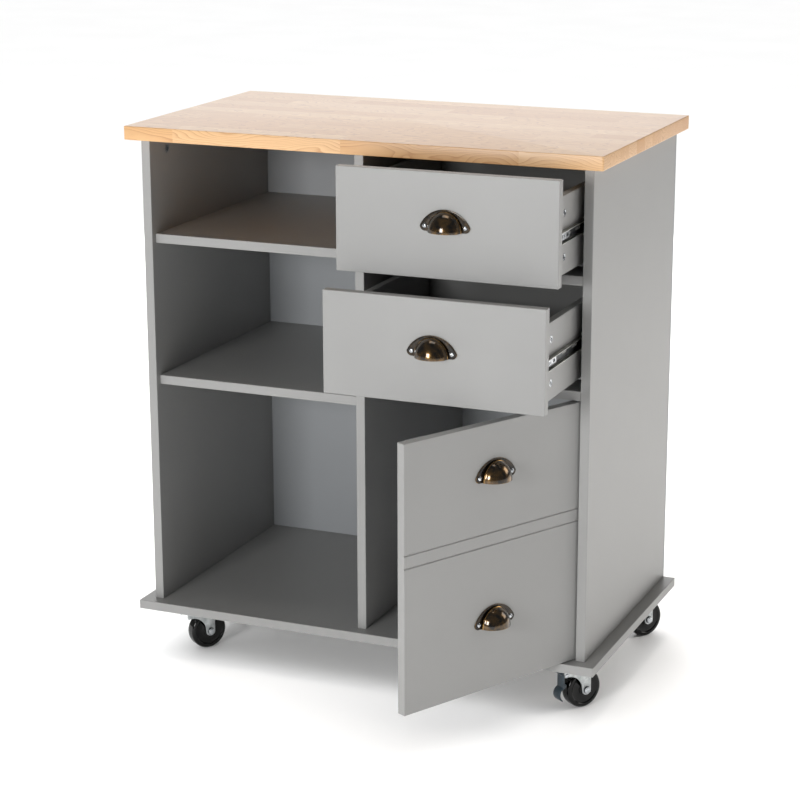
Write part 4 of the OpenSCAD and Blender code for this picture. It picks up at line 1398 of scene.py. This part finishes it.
@dataclass
class Caster:
    """One caster: a stamped fork, a dished wheel, an axle bolt and, on two, a brake pedal."""

    place: str
    braked: bool
    turn: float = math.radians(55)
    trail: float = 32 * MM
    wheel_radius: float = 31.75 * MM
    wheel_half: float = 10 * MM
    fork_half: float = 15.5 * MM
    sheet: float = 2.5 * MM
    boss: float = 8.5 * MM
    roof: float = 71.1 * MM
    lead_round: float = 11.25 * MM
    hollow_back: float = 36 * MM
    hollow_up: float = 1 * MM
    hollow_from: float = 100
    hollow_past: float = 12
    boss_from: float = 200
    leg_steps: int = 14
    brow_up: float = 1.5 * MM
    fork_round: float = 0.7 * MM
    small_round: float = 0.4 * MM
    pedal_pin: Flat = (-7.5 * MM, 64.1 * MM)

    def seat(self) -> Matrix:
        """Finds where the caster stands.

        Returns:
            The matrix from the caster's own frame, which trails along +X.
        """
        low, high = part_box("wheel_" + self.place)
        wheel = (low + high) / 2
        back = Vector((math.cos(self.turn), math.sin(self.turn), 0)) * self.trail
        stand = Matrix.Translation((wheel.x - back.x, wheel.y - back.y, 0))
        return stand @ Matrix.Rotation(self.turn, 4, "Z")

    @property
    def lead(self) -> float:
        """How far the fork reaches in front of the swivel axis."""
        return self.wheel_radius - self.trail + self.lead_round

    @property
    def axle_place(self) -> Matrix:
        """The matrix that lays a part that was turned about Z along the axle."""
        lie = Matrix.Rotation(QUARTER_TURN, 4, "X")
        return Matrix.Translation((self.trail, 0, self.wheel_radius)) @ lie

    def leg_outline(self) -> list[Flat]:
        """Draws a fork leg: hollow along its front, upright at its back, round at the axle.

        Returns:
            The closed outline in X and Z.
        """
        axle_z = self.wheel_radius
        hollow = (self.trail - self.hollow_back, axle_z + self.hollow_up)
        reach = math.hypot(self.trail - hollow[0], axle_z - hollow[1])
        radius = reach - self.boss
        top = self.roof + self.sheet
        start = math.degrees(math.asin((self.trail - self.boss - hollow[0]) / radius))
        end = 90 - start + self.hollow_past
        upper = arc(hollow, radius, self.hollow_from, end, self.leg_steps)
        boss = arc((self.trail, axle_z), self.boss, self.boss_from, 360, self.leg_steps)
        brow = (-self.lead, upper[0][1] + self.brow_up)
        return [(-self.lead, top), brow, *upper, *boss, (self.trail + self.boss, top)]

    def make_fork(self) -> Piece:
        """Makes two stamped legs, a roof and a ball race, softened along their edges.

        Returns:
            The fork in the caster's own frame.
        """
        legs = []
        for side in (-1, 1):
            y = side * (self.fork_half - self.sheet / 2) - self.sheet / 2
            outline = [(x, y, z) for x, z in self.leg_outline()]
            legs.append(Bench.plate("leg", outline, Vector((0, self.sheet, 0))))
        top = self.roof + self.sheet
        low = Vector((-self.lead, -self.fork_half, self.roof))
        roof = Bench.block("roof", low, Vector((self.trail + self.boss, self.fork_half, top)))
        fork = Bench.join([*legs, roof], "fork_sheet")
        Bench.round_edges(fork, self.fork_round, 3, 50)
        ring = in_mm((4.1, 0), (22, 0), (22, 2.2), (20.6, 3.9), (18.5, 4.5), (16, 4.5), (4.1, 4.5))
        race = Bench.lathe("race", [(r, top + z) for r, z in ring], 56)
        Bench.round_edges(race, self.small_round, 2, 30)
        return Bench.join([fork, race], "fork")

    def make_wheel(self) -> Piece:
        """Turns a wheel: hub, dished face, rounded tread with a faint parting line.

        Returns:
            The wheel in the caster's own frame.
        """
        r, w, round_mm = self.wheel_radius / MM, self.wheel_half / MM, 4.2
        hub = [(4.05, 12.5), (10.2, 12.5), (11.0, 11.8), (11.0, 9.2)]
        dish = [(12.2, 8.6), (r - 9.0, 8.6), (r - 7.4, 9.2), (r - 6.6, w)]
        tread = arc((r - round_mm, w - round_mm), round_mm, 90, 0, 8)
        upper = [*hub, *dish, *tread, (r, 0.35), (r - 0.25, 0.0)]
        lower = [(x, -z) for x, z in reversed(upper[:-1])]
        wheel = Bench.lathe("wheel", in_mm(*upper, *lower, upper[0]), 72)
        Bench.move(wheel, self.axle_place)
        return wheel

    def make_axle(self) -> Piece:
        """Makes a bolt with a pressed head, a nut and washers and, if braked, the pedal's pin.

        Returns:
            The axle, with the washers in a darker finish.
        """
        half = self.fork_half / MM
        head = [(0, -3.9), (3.9, -3.8), (5.2, -3.2), (5.6, -2.3), (5.6, -1.1), (4, -1.1)]
        tip = [(4, 1.1), (4, 3.5), (3.5, 3.9), (0, 3.9)]
        ends = [(r, z - half) for r, z in head] + [(r, z + half) for r, z in tip]
        bolt = Bench.lathe("bolt", in_mm(*ends), 40)
        Bench.clear()
        bpy.ops.mesh.primitive_cylinder_add(
            vertices=6, radius=6.1 * MM, depth=2.3 * MM, location=(0, 0, (half + 2.25) * MM)
        )
        nut = Bench.named("nut")
        Bench.settle(nut)
        Bench.round_edges(nut, self.small_round, 2, 40)
        ring = in_mm((3.9, 0), (6.15, 0), (6.15, 0.7), (5.8, 1.1), (3.9, 1.1), (3.9, 0))
        washers = []
        for side, turn in ((-1, math.pi), (1, 0)):
            washer = Bench.lathe("washer", ring, 40)
            foot = Matrix.Translation((0, 0, side * self.fork_half))
            Bench.move(washer, foot @ Matrix.Rotation(turn, 4, "X"))
            Bench.coat(washer, OILED_STEEL_AND_PAINTED_SHADE)
            washers.append(washer)
        for piece in (bolt, nut):
            Bench.coat(piece, BRIGHT_ZINC)
        axle = Bench.join([bolt, nut, *washers], "axle")
        Bench.move(axle, self.axle_place)
        if not self.braked:
            return axle
        rivet = [(2, 0), (3.5, 0), (3.5, 0.7), (2.6, 1.3), (0, 1.4)]
        ends = [(r, -half - z) for r, z in reversed(rivet)] + [(r, half + z) for r, z in rivet]
        pin = Bench.lathe("pin", in_mm(*ends), 32)
        Bench.coat(pin, BRIGHT_ZINC)
        lie = Matrix.Rotation(QUARTER_TURN, 4, "X")
        Bench.move(pin, Matrix.Translation((self.pedal_pin[0], 0, self.pedal_pin[1])) @ lie)
        return Bench.join([axle, pin], "axle")

    def build(self) -> None:
        """Models the caster's pieces, puts them in place and dresses them."""
        seat = self.seat()
        fork, wheel = self.make_fork(), self.make_wheel()
        Bench.coat(fork, FORK_ZINC)
        Bench.coat(wheel, TREAD)
        jobs = [
            (fork, "fork_", "fork_", "caster_zinc"),
            (wheel, "wheel_", "wheel_", "caster_black"),
            (self.make_axle(), "axle_", "fork_", "axle_steel"),
        ]
        for piece, node, body, slot in jobs:
            piece.name = node + self.place + "_formed"
            Bench.move(piece, seat)
            Bench.smooth(piece)
            Bench.install(piece, node + self.place, slot, body + self.place)


@dataclass
class Studio:
    """A pale floor, soft lights and the camera."""

    lens_mm: float = 102.8
    azimuth: float = 22.96
    depression: float = 15.37
    roll: float = -0.14
    right: float = 1.41471
    ahead: float = 3.17878
    height: float = 1.44127
    sensor_mm: float = 36
    fill: float = 0.2
    floor_side: float = 40
    floor_cuts: int = 3

    def camera(self) -> None:
        """Puts the camera in front and to the right, above the worktop, without shift."""
        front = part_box("left_side")[0].y
        lens = bpy.data.cameras.new("camera")
        lens.lens = self.lens_mm
        lens.sensor_width = self.sensor_mm
        camera = bpy.data.objects.new("camera", lens)
        bpy.context.scene.collection.objects.link(camera)
        camera.matrix_world = (
            Matrix.Translation((self.right, front - self.ahead, self.height))
            @ Matrix.Rotation(math.radians(self.azimuth), 4, "Z")
            @ Matrix.Rotation(math.radians(90 - self.depression), 4, "X")
            @ Matrix.Rotation(math.radians(self.roll), 4, "Z")
        )
        bpy.context.scene.camera = camera

    def floor(self) -> None:
        """Lays a wide pale floor under the wheels."""
        Bench.clear()
        bpy.ops.mesh.primitive_plane_add(size=self.floor_side, location=(0, 0, 0))
        floor = Bench.named("floor")
        Bench.edit(floor, Element.FACE)
        bpy.ops.mesh.subdivide(number_cuts=self.floor_cuts)
        Bench.leave()
        Bench.coat(floor, FLOOR_WHITE)

    @staticmethod
    def hang(name: str, kind: str, place: Point, way: Vector) -> Piece:
        """Adds a light.

        Args:
            name: the light's name.
            kind: AREA or SUN.
            place: where it stands.
            way: the direction from the lit point towards it.

        Returns:
            The light's object.
        """
        holder = bpy.data.objects.new(name, bpy.data.lights.new(name, kind))
        bpy.context.scene.collection.objects.link(holder)
        holder.location = place
        holder.rotation_euler = way.to_track_quat("Z", "Y").to_euler()
        return holder

    def softbox(
        self, name: str, place: Point, aim_z: float, side: float, watts: float, tint: str
    ) -> None:
        """Adds one square soft light that faces the cart.

        Args:
            name: the light's name.
            place: where it stands.
            aim_z: how high over the origin it aims.
            side: how wide and high it is.
            watts: its power.
            tint: its colour.
        """
        holder = self.hang(name, "AREA", place, Vector(place) - Vector((0, 0, aim_z)))
        holder.data.shape = "SQUARE"
        holder.data.size = side
        holder.data.energy = watts
        holder.data.color = srgb(tint)[:3]
        holder.visible_camera = False

    def floor_sun(
        self, name: str, way: Point, power: float, spread: float, lit: bpy.types.Collection
    ) -> None:
        """Adds a broad distant light that only the floor receives, so that it stays white.

        Args:
            name: the light's name.
            way: the direction towards it.
            power: its strength.
            spread: its angle in degrees.
            lit: the collection that receives it.
        """
        holder = self.hang(name, "SUN", (0, 0, 0), Vector(way))
        holder.data.energy = power
        holder.data.angle = math.radians(spread)
        holder.light_linking.receiver_collection = lit

    def lights(self) -> None:
        """Hangs soft lights in front, beside, behind and above, two on the floor alone."""
        self.softbox("front", (-0.6, -4.1, 1.35), 0.6, 1.1, 98, "#ffffff")
        self.softbox("side", (3.2, 2.0, 1.9), 0.6, 1.6, 27, "#fffaf4")
        self.softbox("back", (-1.3, 3.2, 1.6), 0.9, 3.0, 54, "#ffffff")
        self.softbox("overhead", (0, 0.2, 3.6), 0.9, 1.6, 24, "#fff8ee")
        lit = bpy.data.collections.new("floor_only")
        lit.objects.link(bpy.data.objects["floor"])
        self.floor_sun("floor_wash", (0, 0, 1), 1.9, 90, lit)
        self.floor_sun("floor_slant", (-0.6, -0.45, 0.7), 1.4, 50, lit)

    def surround(self) -> None:
        """Makes a white surround that gives a faint even fill."""
        world = bpy.data.worlds.new("surround")
        world.use_nodes = True
        tree = world.node_tree
        tree.nodes.clear()
        links = {0: add_node(tree, "LightPath").outputs["Is Camera Ray"]}
        for socket, strength in ((2, 1.0), (1, self.fill)):
            glow = {"Color": srgb("#ffffff"), "Strength": strength}
            links[socket] = add_node(tree, "Background", glow).outputs[0]
        mix = add_node(tree, "MixShader", links=links)
        add_node(tree, "OutputWorld", links={"Surface": mix.outputs[0]})
        bpy.context.scene.world = world

    def build(self) -> None:
        """Sets up the camera, the floor, the lights and the surround."""
        self.camera()
        self.floor()
        self.lights()
        self.surround()
        bpy.context.scene.view_settings.view_transform = "Standard"
        LOG.info("studio: %d lights", len(bpy.data.lights))


def dress_nodes(frame: dict) -> None:
    """Gives every CAD node the finish of its material slot.
    """
    slots = {row["node"]: row["material_slot"] for row in frame["record"]["subparts"]}
    for name, piece in frame["nodes"].items():
        Bench.coat(piece, SLOT_FINISH[slots[name]])
    LOG.info("%d nodes dressed", len(frame["nodes"]))


def main() -> None:
    """Loads the frame, sets up the studio, dresses the nodes and builds every sub-assembly in
    order.
    """
    logging.basicConfig(level=logging.INFO, format="%(message)s")
    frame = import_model()
    Studio().build()
    dress_nodes(frame)
    for assembly in (Worktop(), Pulls(), PullScrews(), DrawerCams(), Slides(), Softened()):
        assembly.build()
    for place in ("front_left", "front_right", "back_left", "back_right"):
        Caster(place, braked=place in ("front_right", "back_left")).build()


if __name__ == "__main__":
    main()
